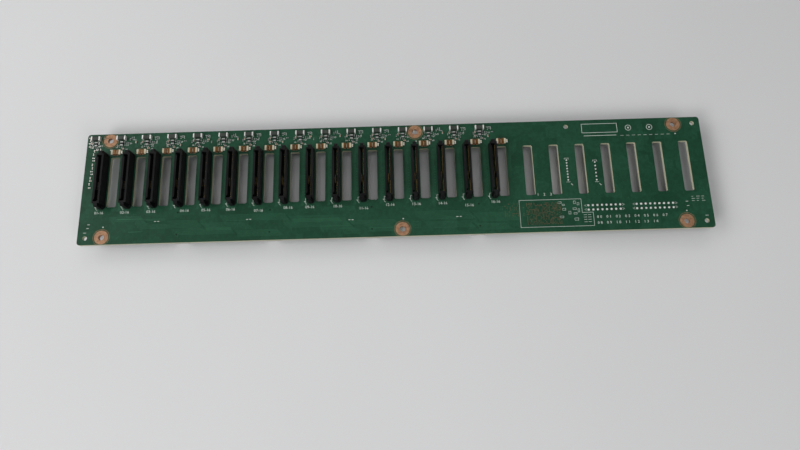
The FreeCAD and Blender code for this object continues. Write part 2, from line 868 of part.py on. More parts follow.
def repeated(name, master, places, y):
    """The same piece at several places along X, as separate solids of one node."""
    copies = [
        group(f"{name}_{number}", [master], slot_x(bay), y)
        for number, bay in enumerate(places, start=1)
    ]
    return group(name, copies)


def make_power_parts():
    """Bulk capacitors, inductors and regulators in the strip above the air slots."""
    can_row = upper_edge - S["can_edge"] - S["can_diameter"] / 2
    coil_row = upper_edge - S["coil_edge"] - S["coil_side"] / 2
    driver_row = upper_edge - S["driver_edge"] - S["driver_width"] / 2
    drivers = [
        block(
            f"driver_{number}",
            slot_x(bay),
            driver_row,
            S["standoff"] - S["driver_height"],
            S["driver_length"],
            S["driver_width"],
            S["driver_height"],
        )
        for number, bay in enumerate(DRIVER_PLACES, start=1)
    ]
    return [
        repeated("bulk_capacitor_cans", make_can(), CAN_PLACES, can_row),
        repeated("bulk_capacitor_bases", make_can_base(), CAN_PLACES, can_row),
        repeated("power_inductors", make_coil(), COIL_PLACES, coil_row),
        group("voltage_regulators", drivers),
    ]


def make_all():
    """Every node of the object."""
    nodes = [make_board()]
    nodes += make_receptacles()
    nodes += [make_lights(), make_fuses()]
    nodes += make_links()
    left_x, right_x = supply_centres()
    nodes += make_supply_header("left_supply", left_x, S["left_supply_pins"])
    nodes += make_supply_header("right_supply", right_x, S["right_supply_pins"])
    nodes += make_small_header(
        "panel_header",
        PANEL_PLACE,
        S["panel_shift"],
        S["panel_pins"],
        S["panel_pitch"],
        S["panel_width"],
        S["panel_height"],
    )
    nodes += make_small_header(
        "service_header",
        SERVICE_PLACE,
        S["service_shift"],
        S["service_pins"],
        S["service_pitch"],
        S["service_width"],
        S["service_height"],
    )
    nodes += [make_chip(), make_heat_sink()]
    nodes += make_power_parts()
    return nodes


def check_and_write(nodes):
    """Stops at a failed object or a bad shape, then writes one STEP file for each node."""
    document.recompute()
    for item in document.Objects:
        if "Invalid" in item.State or "Error" in item.State:
            raise RuntimeError(f"{item.Name} failed: {item.State}")
    for node in nodes:
        if node.Shape.isNull() or not node.Shape.isValid() or node.Shape.Volume <= 0:
            raise RuntimeError(f"{node.Label} has no sound shape")
    os.makedirs("parts", exist_ok=True)
    for node in nodes:
        node.Shape.exportStep(f"parts/{node.Label}.step")
        print(node.Label, len(node.Shape.Solids), round(node.Shape.Volume, 2))


check_and_write(make_all())
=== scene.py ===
"""Drive backplane board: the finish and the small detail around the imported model.

Metres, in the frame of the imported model: X along the board, Y across it, Z out of the drive side.
"""
import json
import math

import bmesh
import bpy
from mathutils import Matrix, Vector


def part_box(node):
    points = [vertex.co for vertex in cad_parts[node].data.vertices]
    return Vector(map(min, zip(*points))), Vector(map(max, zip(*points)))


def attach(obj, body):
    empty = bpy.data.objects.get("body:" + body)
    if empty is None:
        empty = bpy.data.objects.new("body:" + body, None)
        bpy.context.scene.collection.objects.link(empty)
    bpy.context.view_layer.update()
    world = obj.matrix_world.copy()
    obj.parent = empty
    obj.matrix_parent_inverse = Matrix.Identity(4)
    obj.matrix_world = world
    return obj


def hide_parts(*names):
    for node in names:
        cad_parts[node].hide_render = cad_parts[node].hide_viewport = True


bl_info = {
    "name": "Drive Backplane Board",
    "version": (1, 0, 0),
    "blender": (4, 5, 0),
    "location": "View3D > Sidebar > Backplane",
    "description": "Solder mask, silkscreen, receptacles and rear parts of a drive backplane board",
    "category": "Object",
}

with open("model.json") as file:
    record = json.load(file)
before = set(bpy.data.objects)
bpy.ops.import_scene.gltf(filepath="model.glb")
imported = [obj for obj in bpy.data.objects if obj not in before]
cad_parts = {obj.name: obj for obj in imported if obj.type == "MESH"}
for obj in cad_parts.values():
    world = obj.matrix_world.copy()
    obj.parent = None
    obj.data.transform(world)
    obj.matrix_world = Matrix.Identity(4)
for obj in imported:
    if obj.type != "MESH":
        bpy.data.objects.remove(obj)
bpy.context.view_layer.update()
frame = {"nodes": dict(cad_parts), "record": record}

MM = 0.001
BODY = "root"

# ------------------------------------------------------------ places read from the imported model

BOARD_LOW, BOARD_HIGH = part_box("backplane_board")
FRONT = BOARD_HIGH.z
BACK = BOARD_LOW.z
RECEPTACLES = sorted(name for name in frame["nodes"] if name.startswith("drive_connector_"))
LINK_SHELLS = sorted(name for name in frame["nodes"] if name.startswith("link_shell_"))
LINK_INSERTS = sorted(name for name in frame["nodes"] if name.startswith("link_insert_"))


def middle(node):
    """Middle of a node's box."""
    low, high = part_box(node)
    return (low + high) / 2


def air_slots():
    """Lowest and highest corner of each air slot's opening, in order along the board."""
    rows = [
        row["box_m"]
        for row in frame["record"]["physics"]["openings"]
        if row["name"].startswith("air_slot_")
    ]
    boxes = [(Vector(low), Vector(high)) for low, high in rows]
    return sorted(boxes, key=lambda box: box[0].x)


SLOTS = air_slots()
SLOT_X = [(low.x + high.x) / 2 for low, high in SLOTS]
PITCH = (SLOT_X[-1] - SLOT_X[0]) / (len(SLOT_X) - 1)
SLOT_TOP = SLOTS[0][1].y
SLOT_FOOT = SLOTS[0][0].y
FITTED = len(RECEPTACLES)


def bay_x(bay):
    """Place along X of an air slot, counted from 1. A fraction lies between two slots."""
    return SLOT_X[0] + PITCH * (bay - 1)


def screw_holes():
    """Centres of the six screw holes, from the record's mounts."""
    centres = set()
    for mount in frame["record"]["mounts"]:
        if mount["kind"] != "bolt_pattern":
            continue
        x, y, _ = mount["pos_m"]
        half_x = mount["dims"]["spacing_x_mm"] * MM / 2
        half_y = mount["dims"].get("spacing_y_mm", 0.0) * MM / 2
        for side in (-1, 1):
            for end in (-1, 1):
                centres.add((round(x + side * half_x, 6), round(y + end * half_y, 6)))
    return sorted(centres)


# ------------------------------------------------------------------------ sizes and colours


def length(name, description, default):
    """A size in metres that the sidebar shows in the scene's own units."""
    return bpy.props.FloatProperty(
        name=name, description=description, default=default, min=0.0, unit="LENGTH", precision=5
    )


def colour(name, description, default):
    """A colour that the sidebar shows as a swatch."""
    return bpy.props.FloatVectorProperty(
        name=name,
        description=description,
        default=default,
        size=3,
        subtype="COLOR",
        min=0.0,
        max=1.0,
    )


def share(name, description, default):
    """A value from 0 to 1 that the sidebar shows as a slider."""
    return bpy.props.FloatProperty(
        name=name, description=description, default=default, min=0.0, max=1.0, subtype="FACTOR"
    )


class BackplaneBoardSettings(bpy.types.PropertyGroup):
    """Laminate, solder mask, copper and ink."""

    mask_colour: colour("Solder mask", "Mask over bare laminate", (0.011, 0.056, 0.028))
    pour_colour: colour("Mask over copper", "Mask with copper below it", (0.018, 0.080, 0.042))
    laminate_colour: colour("Laminate", "Cut edge of the laminate", (0.52, 0.51, 0.38))
    copper_colour: colour("Copper", "Bare copper of the screw pads", (0.42, 0.235, 0.138))
    ink_colour: colour("Ink", "Printed marks", (0.60, 0.66, 0.60))
    tin_colour: colour("Solder", "Solder joints and tinned ends", (0.80, 0.80, 0.77))
    mask_roughness: share("Mask roughness", "Roughness of the solder mask", 0.34)
    film: length("Film", "Thickness of ink and copper on the board", 0.03 * MM)
    pad_radius: length("Pad radius", "Copper pad round a screw hole", 4.7 * MM)
    ring_radius: length("Ring radius", "Thin ring round a screw pad", 5.55 * MM)
    hole_radius: length("Hole radius", "Screw hole", 1.9 * MM)
    trace_width: length("Trace width", "Widest copper tracks under the mask", 0.32 * MM)
    ink_width: length("Ink line", "Width of a printed line", 0.22 * MM)
    number_height: length("Number height", "Height of the bay numbers", 1.89 * MM)


class BackplanePartSettings(bpy.types.PropertyGroup):
    """Parts that are soldered to the board."""

    plastic_colour: colour("Receptacle", "Moulded black plastic", (0.006, 0.006, 0.0065))
    nylon_colour: colour("Nylon", "Natural nylon headers", (0.62, 0.58, 0.46))
    gold_colour: colour("Gold", "Plated contacts", (0.83, 0.58, 0.22))
    lens_colour: colour("Lens", "Pale body of a status light", (0.70, 0.64, 0.47))
    die_colour: colour("Window", "Amber window of a status light", (0.22, 0.10, 0.03))
    sheet_colour: colour("Sheet steel", "Tinned shell of a link socket", (0.56, 0.56, 0.54))
    aluminium_colour: colour("Aluminium", "Heat sink and capacitor cans", (0.70, 0.71, 0.72))
    housing_bevel: length("Edge radius", "Rounding of the moulded edges", 0.12 * MM)
    groove_width: length("Groove width", "Groove beside each contact", 0.78 * MM)
    groove_depth: length("Groove depth", "How deep the grooves go into the wall", 0.45 * MM)
    joint_radius: length("Joint radius", "Solder joint of a header pin", 0.62 * MM)
    joint_height: length("Joint height", "Solder joint above the board", 0.6 * MM)
    tail_radius: length("Tail radius", "Solder joint of a contact's tail", 0.42 * MM)


class BackplaneStageSettings(bpy.types.PropertyGroup):
    """Floor, lamps and camera."""

    floor_colour: colour("Floor", "Plain pale floor", (0.74, 0.74, 0.745))
    sky_colour: colour("Surroundings", "Plain pale surroundings", (0.55, 0.56, 0.57))
    sky_strength: bpy.props.FloatProperty(
        name="Surroundings strength", description="Light from all around", default=0.22, min=0.0
    )
    lamp_power: bpy.props.FloatProperty(
        name="Lamps",
        description="Power of the soft lamps together",
        default=57.0,
        min=0.0,
        unit="POWER",
    )
    lens: bpy.props.FloatProperty(
        name="Lens", description="Camera's focal length in millimetres", default=27.0, min=1.0
    )


def board_settings():
    """Sizes and colours of the board itself."""
    return bpy.context.scene.backplane_board


def part_settings():
    """Sizes and colours of the parts on it."""
    return bpy.context.scene.backplane_parts


def stage_settings():
    """Floor, lamps and camera."""
    return bpy.context.scene.backplane_stage


# --------------------------------------------------------------------------------- node helpers


def add_node(tree, kind, wires, **settings):
    """A node with its settings and its inputs, each a plain value or a link from a socket."""
    made = tree.nodes.new(kind)
    for key, value in settings.items():
        setattr(made, key, value)
    for label, source in wires.items():
        socket = made.inputs[label]
        if isinstance(source, bpy.types.NodeSocket):
            tree.links.new(source, socket)
        else:
            socket.default_value = source
    return made


class Finish:
    """A material while its nodes are being wired."""

    def __init__(self, name, tint, roughness, metallic=0.0, specular=0.5):
        self.material = bpy.data.materials.new(name)
        self.material.use_nodes = True
        self.tree = self.material.node_tree
        self.shader = self.tree.nodes["Principled BSDF"]
        self.shader.inputs["Base Color"].default_value = (*tint, 1.0)
        self.shader.inputs["Roughness"].default_value = roughness
        self.shader.inputs["Metallic"].default_value = metallic
        self.shader.inputs["Specular IOR Level"].default_value = specular
        self.coordinates = self.tree.nodes.new("ShaderNodeTexCoord").outputs

    def noise(self, scale, detail=2.0, stretch=(1.0, 1.0, 1.0)):
        """Noise over the object, in cycles for each metre."""
        mapping = add_node(
            self.tree,
            "ShaderNodeMapping",
            {"Vector": self.coordinates["Object"], "Scale": stretch},
        )
        texture = add_node(
            self.tree,
            "ShaderNodeTexNoise",
            {"Vector": mapping.outputs[0], "Scale": scale, "Detail": detail},
        )
        return texture.outputs["Fac"]

    def cells(self, scale, distance="EUCLIDEAN", output="Distance", randomness=1.0):
        """Cells over the object, in cells for each metre."""
        texture = add_node(
            self.tree,
            "ShaderNodeTexVoronoi",
            {"Vector": self.coordinates["Object"], "Scale": scale, "Randomness": randomness},
            distance=distance,
        )
        return texture.outputs[output]

    def spread(self, source, low, high, out_low=0.0, out_high=1.0):
        """A value mapped from one range to another, and held inside it."""
        mapped = add_node(
            self.tree,
            "ShaderNodeMapRange",
            {0: source, 1: low, 2: high, 3: out_low, 4: out_high},
        )
        return mapped.outputs[0]

    def calculate(self, one, other, operation="ADD"):
        """Two values added, or joined by another operation."""
        made = add_node(self.tree, "ShaderNodeMath", {0: one, 1: other}, operation=operation)
        return made.outputs[0]

    def blend(self, factor, one, other):
        """Two colours mixed by a factor."""
        wires = {0: factor}
        for index, value in ((6, one), (7, other)):
            wires[index] = value if isinstance(value, bpy.types.NodeSocket) else (*value, 1.0)
        made = add_node(self.tree, "ShaderNodeMix", wires, data_type="RGBA")
        return made.outputs[2]

    def paint(self, source):
        """Wires the colour."""
        self.tree.links.new(source, self.shader.inputs["Base Color"])

    def gloss(self, source):
        """Wires the roughness."""
        self.tree.links.new(source, self.shader.inputs["Roughness"])

    def relief(self, height, distance, strength=0.5):
        """Fine bumps, as deep as the distance says."""
        bump = add_node(
            self.tree,
            "ShaderNodeBump",
            {"Height": height, "Distance": distance, "Strength": strength},
        )
        self.tree.links.new(bump.outputs[0], self.shader.inputs["Normal"])


def scaled(tint, factor):
    """A colour made lighter or darker."""
    return tuple(min(1.0, channel * factor) for channel in tint)


def mottled(name, tint, roughness, grain, metallic=0.0, specular=0.5, depth=0.02 * MM, swing=0.12):
    """A finish with a slow change of tone, a fine grain and an uneven gloss."""
    finish = Finish(name, tint, roughness, metallic, specular)
    slow = finish.noise(grain / 6)
    fine = finish.noise(grain, 4.0)
    tone = finish.spread(finish.calculate(slow, fine, "MULTIPLY"), 0.1, 0.4)
    finish.paint(finish.blend(tone, scaled(tint, 1 - swing), scaled(tint, 1 + swing)))
    finish.gloss(finish.spread(fine, 0.3, 0.7, roughness * 0.85, min(1.0, roughness * 1.15)))
    finish.relief(fine, depth)
    return finish.material


# ------------------------------------------------------------------------------------ finishes


def solder_mask():
    """Green mask: darker over bare laminate, lighter over copper, with the weave showing.

    The cut edges of the board, which face sideways, show the pale laminate instead.
    """
    look = board_settings()
    finish = Finish("solder_mask", look.mask_colour, look.mask_roughness, specular=0.20)
    patches = finish.cells(95.0, distance="CHEBYCHEV", output="Color")
    grey = add_node(finish.tree, "ShaderNodeRGBToBW", {0: patches}).outputs[0]
    drift = finish.noise(14.0, 2.0)
    pour = finish.spread(finish.calculate(grey, drift), 0.55, 1.35)
    mask = finish.blend(pour, look.mask_colour, look.pour_colour)
    speckle = finish.cells(620.0)
    dots = finish.spread(speckle, 0.12, 0.2, 0.42, 0.0)
    mask = finish.blend(dots, mask, scaled(look.pour_colour, 1.7))
    clouds = finish.noise(420.0, 3.0)
    shade = finish.spread(clouds, 0.42, 0.62, 0.0, 0.35)
    mask = finish.blend(shade, mask, scaled(look.mask_colour, 0.6))
    facing = add_node(
        finish.tree, "ShaderNodeSeparateXYZ", {0: finish.coordinates["Normal"]}
    ).outputs["Z"]
    flat = finish.calculate(finish.calculate(facing, 0.0, "ABSOLUTE"), 0.5, "GREATER_THAN")
    plies = finish.noise(900.0, 3.0, (0.25, 0.25, 6.0))
    edge = finish.blend(
        finish.spread(plies, 0.35, 0.65),
        scaled(look.laminate_colour, 0.82),
        scaled(look.laminate_colour, 1.12),
    )
    finish.paint(finish.blend(flat, edge, mask))
    rough = finish.spread(clouds, 0.3, 0.7, look.mask_roughness - 0.06, look.mask_roughness + 0.08)
    edge_rough = 0.8
    wires = {0: flat, 2: edge_rough, 3: rough}
    finish.gloss(add_node(finish.tree, "ShaderNodeMix", wires).outputs[0])
    weave = finish.cells(1500.0, distance="CHEBYCHEV", randomness=0.25)
    finish.relief(weave, 0.012 * MM)
    return finish.material


def masked_copper():
    """Mask over a copper track: paler than over a pour, and slightly glossier."""
    look = board_settings()
    tint = scaled(look.pour_colour, 1.45)
    return mottled("masked_copper", tint, 0.33, 1800.0, specular=0.24, depth=0.01 * MM, swing=0.14)


def faint_line():
    """Copper that shows pale through the mask, in fine lines and test points."""
    tint = scaled(board_settings().pour_colour, 2.6)
    return mottled("faint_line", tint, 0.4, 2400.0, specular=0.2)


def tented_via():
    """A via under the mask: its copper shows through darker than a pour."""
    tint = scaled(board_settings().pour_colour, 0.35)
    return mottled("tented_via", tint, 0.4, 2400.0, specular=0.2)


def brown_via():
    """A plugged via: brown resin with a rim of copper."""
    tint = scaled(board_settings().copper_colour, 0.52)
    return mottled("brown_via", tint, 0.5, 2400.0, metallic=0.2, specular=0.2, swing=0.3)


def bare_copper():
    """Bare copper gone dull: tarnish in clouds and small stains."""
    look = board_settings()
    finish = Finish("bare_copper", look.copper_colour, 0.45, metallic=0.3, specular=0.3)
    clouds = finish.noise(520.0, 4.0)
    stains = finish.noise(1900.0, 3.0)
    bright = scaled(look.copper_colour, 1.15)
    fade = (0.62, 0.58, 0.50)
    dull = tuple(channel * part for channel, part in zip(look.copper_colour, fade))
    tone = finish.spread(finish.calculate(clouds, stains), 0.75, 1.25)
    finish.paint(finish.blend(tone, dull, bright))
    finish.gloss(finish.spread(clouds, 0.3, 0.7, 0.34, 0.58))
    finish.relief(stains, 0.01 * MM)
    return finish.material


def printed_ink():
    """Matt pale ink of the printed marks."""
    look = board_settings()
    return mottled("printed_ink", look.ink_colour, 0.62, 2600.0, depth=0.006 * MM, swing=0.10)


def solder():
    """Solder and tinned metal, half dulled."""
    look = board_settings()
    return mottled(
        "solder", look.tin_colour, 0.34, 2200.0, metallic=0.3, depth=0.015 * MM, swing=0.08
    )


def dull_tin():
    """Reflowed tin on the small parts' ends, gone grey."""
    look = board_settings()
    tint = scaled(look.tin_colour, 0.66)
    return mottled("dull_tin", tint, 0.42, 2600.0, metallic=0.4, depth=0.015 * MM, swing=0.22)


def moulded_black():
    """Glass-filled black plastic: a fine grain and slow flow marks."""
    look = part_settings()
    finish = Finish("moulded_black", look.plastic_colour, 0.46, specular=0.14)
    grain = finish.noise(3600.0, 4.0)
    flow = finish.noise(240.0, 2.0, (1.0, 0.18, 1.0))
    tone = finish.spread(finish.calculate(grain, flow), 0.8, 1.25)
    dark = scaled(look.plastic_colour, 0.7)
    pale = scaled(look.plastic_colour, 2.1)
    finish.paint(finish.blend(tone, dark, pale))
    finish.gloss(finish.spread(flow, 0.35, 0.65, 0.36, 0.54))
    finish.relief(grain, 0.012 * MM, 0.6)
    return finish.material


def natural_nylon():
    """Undyed nylon of the small headers."""
    look = part_settings()
    return mottled("natural_nylon", look.nylon_colour, 0.5, 900.0, depth=0.01 * MM, swing=0.07)


def plated_gold():
    """Gold plating of the contacts."""
    look = part_settings()
    return mottled(
        "plated_gold", look.gold_colour, 0.27, 2400.0, metallic=1.0, depth=0.006 * MM, swing=0.10
    )


def pale_lens():
    """Milky body of a status light."""
    look = part_settings()
    finish = Finish("pale_lens", look.lens_colour, 0.3)
    haze = finish.noise(1700.0, 3.0)
    dark = scaled(look.lens_colour, 0.86)
    pale = scaled(look.lens_colour, 1.12)
    finish.paint(finish.blend(haze, dark, pale))
    finish.shader.inputs["Subsurface Weight"].default_value = 0.15
    finish.shader.inputs["Subsurface Radius"].default_value = (0.0006, 0.0005, 0.0003)
    finish.gloss(finish.spread(haze, 0.3, 0.7, 0.24, 0.36))
    finish.relief(haze, 0.008 * MM)
    return finish.material


def amber_window():
    """Amber window of a status light."""
    look = part_settings()
    return mottled("amber_window", look.die_colour, 0.22, 2000.0, metallic=0.35, swing=0.2)


def part_black():
    """Moulded epoxy of the transistors, regulators and bases."""
    epoxy = (0.020, 0.020, 0.021)
    return mottled("part_black", epoxy, 0.5, 2600.0, specular=0.3, depth=0.012 * MM, swing=0.25)


def fuse_body():
    """Dark glazed body of a fuse, mottled where the glaze thins."""
    glaze = (0.042, 0.050, 0.042)
    return mottled("fuse_body", glaze, 0.4, 1500.0, specular=0.3, swing=0.5)


def chip_blue_black():
    """Glass coat of a chip resistor."""
    coat = (0.03, 0.036, 0.042)
    return mottled("chip_blue_black", coat, 0.35, 2600.0, depth=0.008 * MM, swing=0.3)


def ceramic_tan():
    """Fired ceramic of a chip capacitor."""
    ceramic = (0.33, 0.21, 0.12)
    return mottled("ceramic_tan", ceramic, 0.42, 2200.0, depth=0.01 * MM, swing=0.14)


def folded_sheet():
    """Tinned sheet with fine rolling lines along its length."""
    look = part_settings()
    finish = Finish("folded_sheet", look.sheet_colour, 0.33, metallic=0.95)
    lines = finish.noise(2600.0, 3.0, (1.0, 1.0, 0.06))
    blotch = finish.noise(260.0, 3.0)
    finish.paint(
        finish.blend(
            finish.spread(finish.calculate(lines, blotch), 0.75, 1.25),
            scaled(look.sheet_colour, 0.82),
            scaled(look.sheet_colour, 1.14),
        )
    )
    finish.gloss(finish.spread(blotch, 0.3, 0.7, 0.26, 0.42))
    finish.relief(lines, 0.008 * MM)
    return finish.material


def extruded_aluminium():
    """Aluminium with die lines along Y, the way the fins were drawn."""
    look = part_settings()
    finish = Finish("extruded_aluminium", look.aluminium_colour, 0.36, metallic=1.0)
    lines = finish.noise(3000.0, 3.0, (1.0, 0.03, 1.0))
    finish.paint(
        finish.blend(
            finish.spread(lines, 0.35, 0.65),
            scaled(look.aluminium_colour, 0.8),
            scaled(look.aluminium_colour, 1.1),
        )
    )
    finish.gloss(finish.spread(lines, 0.35, 0.65, 0.28, 0.46))
    finish.relief(lines, 0.01 * MM)
    return finish.material


def drawn_can():
    """Drawn aluminium: satin, with rings from the drawing die up its wall."""
    look = part_settings()
    finish = Finish("drawn_can", look.aluminium_colour, 0.3, metallic=1.0)
    rings = finish.noise(2400.0, 2.0, (0.03, 0.03, 1.0))
    finish.paint(
        finish.blend(
            finish.spread(rings, 0.35, 0.65),
            scaled(look.aluminium_colour, 0.88),
            scaled(look.aluminium_colour, 1.08),
        )
    )
    finish.gloss(finish.spread(rings, 0.3, 0.7, 0.24, 0.38))
    finish.relief(rings, 0.005 * MM)
    return finish.material


def pressed_ferrite():
    """Pressed iron powder of an inductor, rough and grey."""
    powder = (0.075, 0.076, 0.08)
    return mottled("pressed_ferrite", powder, 0.68, 1500.0, depth=0.05 * MM, swing=0.3)


def chip_package():
    """Expander chip: dark green substrate near the board and a black moulded lid below it."""
    look = board_settings()
    low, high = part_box("expander_chip")
    finish = Finish("chip_package", (0.02, 0.02, 0.021), 0.45)
    height = add_node(
        finish.tree, "ShaderNodeSeparateXYZ", {0: finish.coordinates["Object"]}
    ).outputs["Z"]
    lid_share = 0.52
    seam = high.z - (high.z - low.z) * lid_share
    substrate = finish.calculate(height, seam, "GREATER_THAN")
    grain = finish.noise(2600.0, 3.0)
    lid = finish.blend(grain, (0.014, 0.014, 0.015), (0.032, 0.032, 0.034))
    green = finish.blend(grain, scaled(look.mask_colour, 0.8), scaled(look.pour_colour, 1.1))
    finish.paint(finish.blend(substrate, lid, green))
    finish.gloss(finish.spread(grain, 0.3, 0.7, 0.38, 0.52))
    finish.relief(grain, 0.01 * MM)
    return finish.material


FINISHES = {}


def finish(maker):
    """The material that a maker function wires, made once and then shared."""
    if maker.__name__ not in FINISHES:
        FINISHES[maker.__name__] = maker()
    return FINISHES[maker.__name__]


def dress(node, maker):
    """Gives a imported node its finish."""
    slots = frame["nodes"][node].data.materials
    slots.clear()
    slots.append(finish(maker))


# ------------------------------------------------------------------------------- mesh helpers


def add_object(name, data):
    """A new object in the scene."""
    made = bpy.data.objects.new(name, data)
    bpy.context.scene.collection.objects.link(made)
    return made


def evaluated_mesh(carrier):
    """A plain mesh of an object as its modifiers leave it. The object is removed."""
    graph = bpy.context.evaluated_depsgraph_get()
    mesh = bpy.data.meshes.new_from_object(carrier.evaluated_get(graph), depsgraph=graph)
    bpy.data.objects.remove(carrier)
    return mesh


def mesh_of(form, name):
    """The mesh of a finished bmesh, with its faces turned outwards."""
    bmesh.ops.recalc_face_normals(form, faces=form.faces)
    mesh = bpy.data.meshes.new(name)
    form.to_mesh(mesh)
    form.free()
    return mesh


def keep(form, name, maker):
    """Turns a finished bmesh into an object of one finish."""
    mesh = mesh_of(form, name)
    mesh.materials.append(finish(maker))
    return add_object(name, mesh)


def settle(piece, slot, *replaced):
    """Puts a finished piece on the board's body, and hides the nodes that it stands for."""
    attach(piece, BODY)
    if replaced:
        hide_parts(*replaced)


def add_prism(form, outline, low, high):
    """A straight-sided solid over an outline of (x, y) corners."""
    floor = [form.verts.new((x, y, low)) for x, y in outline]
    roof = [form.verts.new((x, y, high)) for x, y in outline]
    count = len(outline)
    form.faces.new(floor[::-1])
    form.faces.new(roof)
    for index in range(count):
        after = (index + 1) % count
        form.faces.new((floor[index], floor[after], roof[after], roof[index]))


def add_box(form, low, high):
    """A box from its lowest to its highest corner."""
    outline = [(low[0], low[1]), (high[0], low[1]), (high[0], high[1]), (low[0], high[1])]
    add_prism(form, outline, low[2], high[2])


def add_loops(form, centre, profile, sides):
    """Circles of corners about Z, one for each (radius, z) of a profile."""
    loops = []
    for radius, level in profile:
        loop = []
        for step in range(sides):
            angle = math.tau * step / sides
            x = centre[0] + radius * math.cos(angle)
            y = centre[1] + radius * math.sin(angle)
            loop.append(form.verts.new((x, y, level)))
        loops.append(loop)
    return loops


def bridge(form, one, other):
    """Faces between two loops of as many corners."""
    for step in range(len(one)):
        after = (step + 1) % len(one)
        form.faces.new((one[step], one[after], other[after], other[step]))


def add_ring(form, centre, inner, outer, low, high, sides=40):
    """A flat ring, or a tube where it is tall."""
    profile = ((inner, low), (outer, low), (outer, high), (inner, high))
    loops = add_loops(form, centre, profile, sides)
    for one, other in zip(loops, loops[1:] + loops[:1]):
        bridge(form, one, other)


def trim_at_edges(form, inset):
    """Cuts a form off just inside the board's long edges, and closes the cuts."""
    for limit, way in ((BOARD_HIGH.y, 1), (BOARD_LOW.y, -1)):
        cut = bmesh.ops.bisect_plane(
            form,
            geom=form.verts[:] + form.edges[:] + form.faces[:],
            plane_co=(0, limit - way * inset, 0),
            plane_no=(0, way, 0),
            clear_outer=True,
        )
        rim = [item for item in cut["geom_cut"] if isinstance(item, bmesh.types.BMEdge)]
        bmesh.ops.edgenet_fill(form, edges=rim)


def add_lathe(form, centre, profile, sides):
    """A solid of revolution about Z through a list of (radius, z), closed at both ends."""
    loops = add_loops(form, centre, profile, sides)
    for one, other in zip(loops, loops[1:]):
        bridge(form, one, other)
    form.faces.new(loops[0][::-1])
    form.faces.new(loops[-1])


def add_strip(form, path, width, low, high, closed=False):
    """A flat strip of even width along a path of (x, y) corners, mitred where it turns."""
    sharpest = 0.5
    points = [Vector(point) for point in path]
    count = len(points)
    rails = []
    for index, point in enumerate(points):
        headings = []
        if closed or index > 0:
            headings.append((point - points[index - 1]).normalized())
        if closed or index < count - 1:
            headings.append((points[(index + 1) % count] - point).normalized())
        along = (headings[0] + headings[-1]).normalized()
        across = Vector((-along.y, along.x))
        stretch = 1 / max(sharpest, along.dot(headings[0]))
        offset = across * (width / 2 * stretch)
        corners = []
        for side, level in ((offset, low), (offset, high), (-offset, high), (-offset, low)):
            corners.append(form.verts.new((point.x + side.x, point.y + side.y, level)))
        rails.append(corners)
    pairs = list(zip(rails, rails[1:]))
    if closed:
        pairs.append((rails[-1], rails[0]))
    for one, other in pairs:
        bridge(form, one, other)
    if not closed:
        form.faces.new(rails[0][::-1])
        form.faces.new(rails[-1])


# How much of the font's size a figure's height takes up.
FIGURE_SHARE = 0.72


def add_number(form, text, height, centre, low, high):
    """Printed figures, centred on a place, as a mesh of the ink's thickness."""
    curve = bpy.data.curves.new("figures", "FONT")
    curve.body = text
    curve.align_x = "CENTER"
    curve.align_y = "CENTER"
    curve.size = height / FIGURE_SHARE
    curve.resolution_u = 2
    curve.extrude = (high - low) / 2
    carrier = bpy.data.objects.new("figures", curve)
    mesh = bpy.data.meshes.new_from_object(carrier)
    mesh.transform(Matrix.Translation((centre[0], centre[1], (low + high) / 2)))
    form.from_mesh(mesh)
    bpy.data.objects.remove(carrier)
    bpy.data.curves.remove(curve)
    bpy.data.meshes.remove(mesh)


# --------------------------------------------------------------------------- geometry node trees


def start_tree(name, inputs):
    """An empty geometry tree with its named inputs. Gives the tree and its input sockets."""
    tree = bpy.data.node_groups.new(name, "GeometryNodeTree")
    tree.interface.new_socket("Geometry", in_out="INPUT", socket_type="NodeSocketGeometry")
    for label, kind in inputs:
        tree.interface.new_socket(label, in_out="INPUT", socket_type=kind)
    tree.interface.new_socket("Geometry", in_out="OUTPUT", socket_type="NodeSocketGeometry")
    return tree, tree.nodes.new("NodeGroupInput").outputs


def end_tree(tree, source):
    """Wires the tree's result."""
    exit_node = tree.nodes.new("NodeGroupOutput")
    tree.links.new(source, exit_node.inputs[0])


def grow(name, seed, tree, values):
    """Runs a tree over a seed mesh and keeps the result as an object with a plain mesh."""
    carrier = add_object(name, seed)
    modifier = carrier.modifiers.new("grow", "NODES")
    modifier.node_group = tree
    for item in tree.interface.items_tree:
        if item.in_out == "INPUT" and item.name in values:
            modifier[item.identifier] = values[item.name]
    mesh = evaluated_mesh(carrier)
    mesh.name = name
    return add_object(name, mesh)


def seed_points(places, turns=None):
    """A mesh of loose points, each with a turn about Z kept as an attribute."""
    mesh = bpy.data.meshes.new("seed_points")
    mesh.from_pydata([tuple(place) for place in places], [], [])
    attribute = mesh.attributes.new("turn", "FLOAT", "POINT")
    attribute.data.foreach_set("value", turns or [0.0] * len(places))
    return mesh


def combined(tree, *sources):
    """Several geometries joined."""
    join = tree.nodes.new("GeometryNodeJoinGeometry")
    for source in sources:
        tree.links.new(source, join.inputs[0])
    return join.outputs[0]


def painted(tree, source, material):
    """The same geometry in one material."""
    return add_node(
        tree, "GeometryNodeSetMaterial", {"Geometry": source, "Material": material}
    ).outputs[0]


def marked(tree, source):
    """The same geometry, its faces marked to take the second material."""
    return add_node(
        tree,
        "GeometryNodeStoreNamedAttribute",
        {"Geometry": source, "Name": "second", "Value": True},
        data_type="BOOLEAN",
        domain="FACE",
    ).outputs[0]


def painted_twice(tree, source, first, second):
    """One material everywhere, then another on the marked faces."""
    choice = add_node(
        tree, "GeometryNodeInputNamedAttribute", {"Name": "second"}, data_type="BOOLEAN"
    ).outputs["Attribute"]
    return add_node(
        tree,
        "GeometryNodeSetMaterial",
        {"Geometry": painted(tree, source, first), "Selection": choice, "Material": second},
    ).outputs[0]


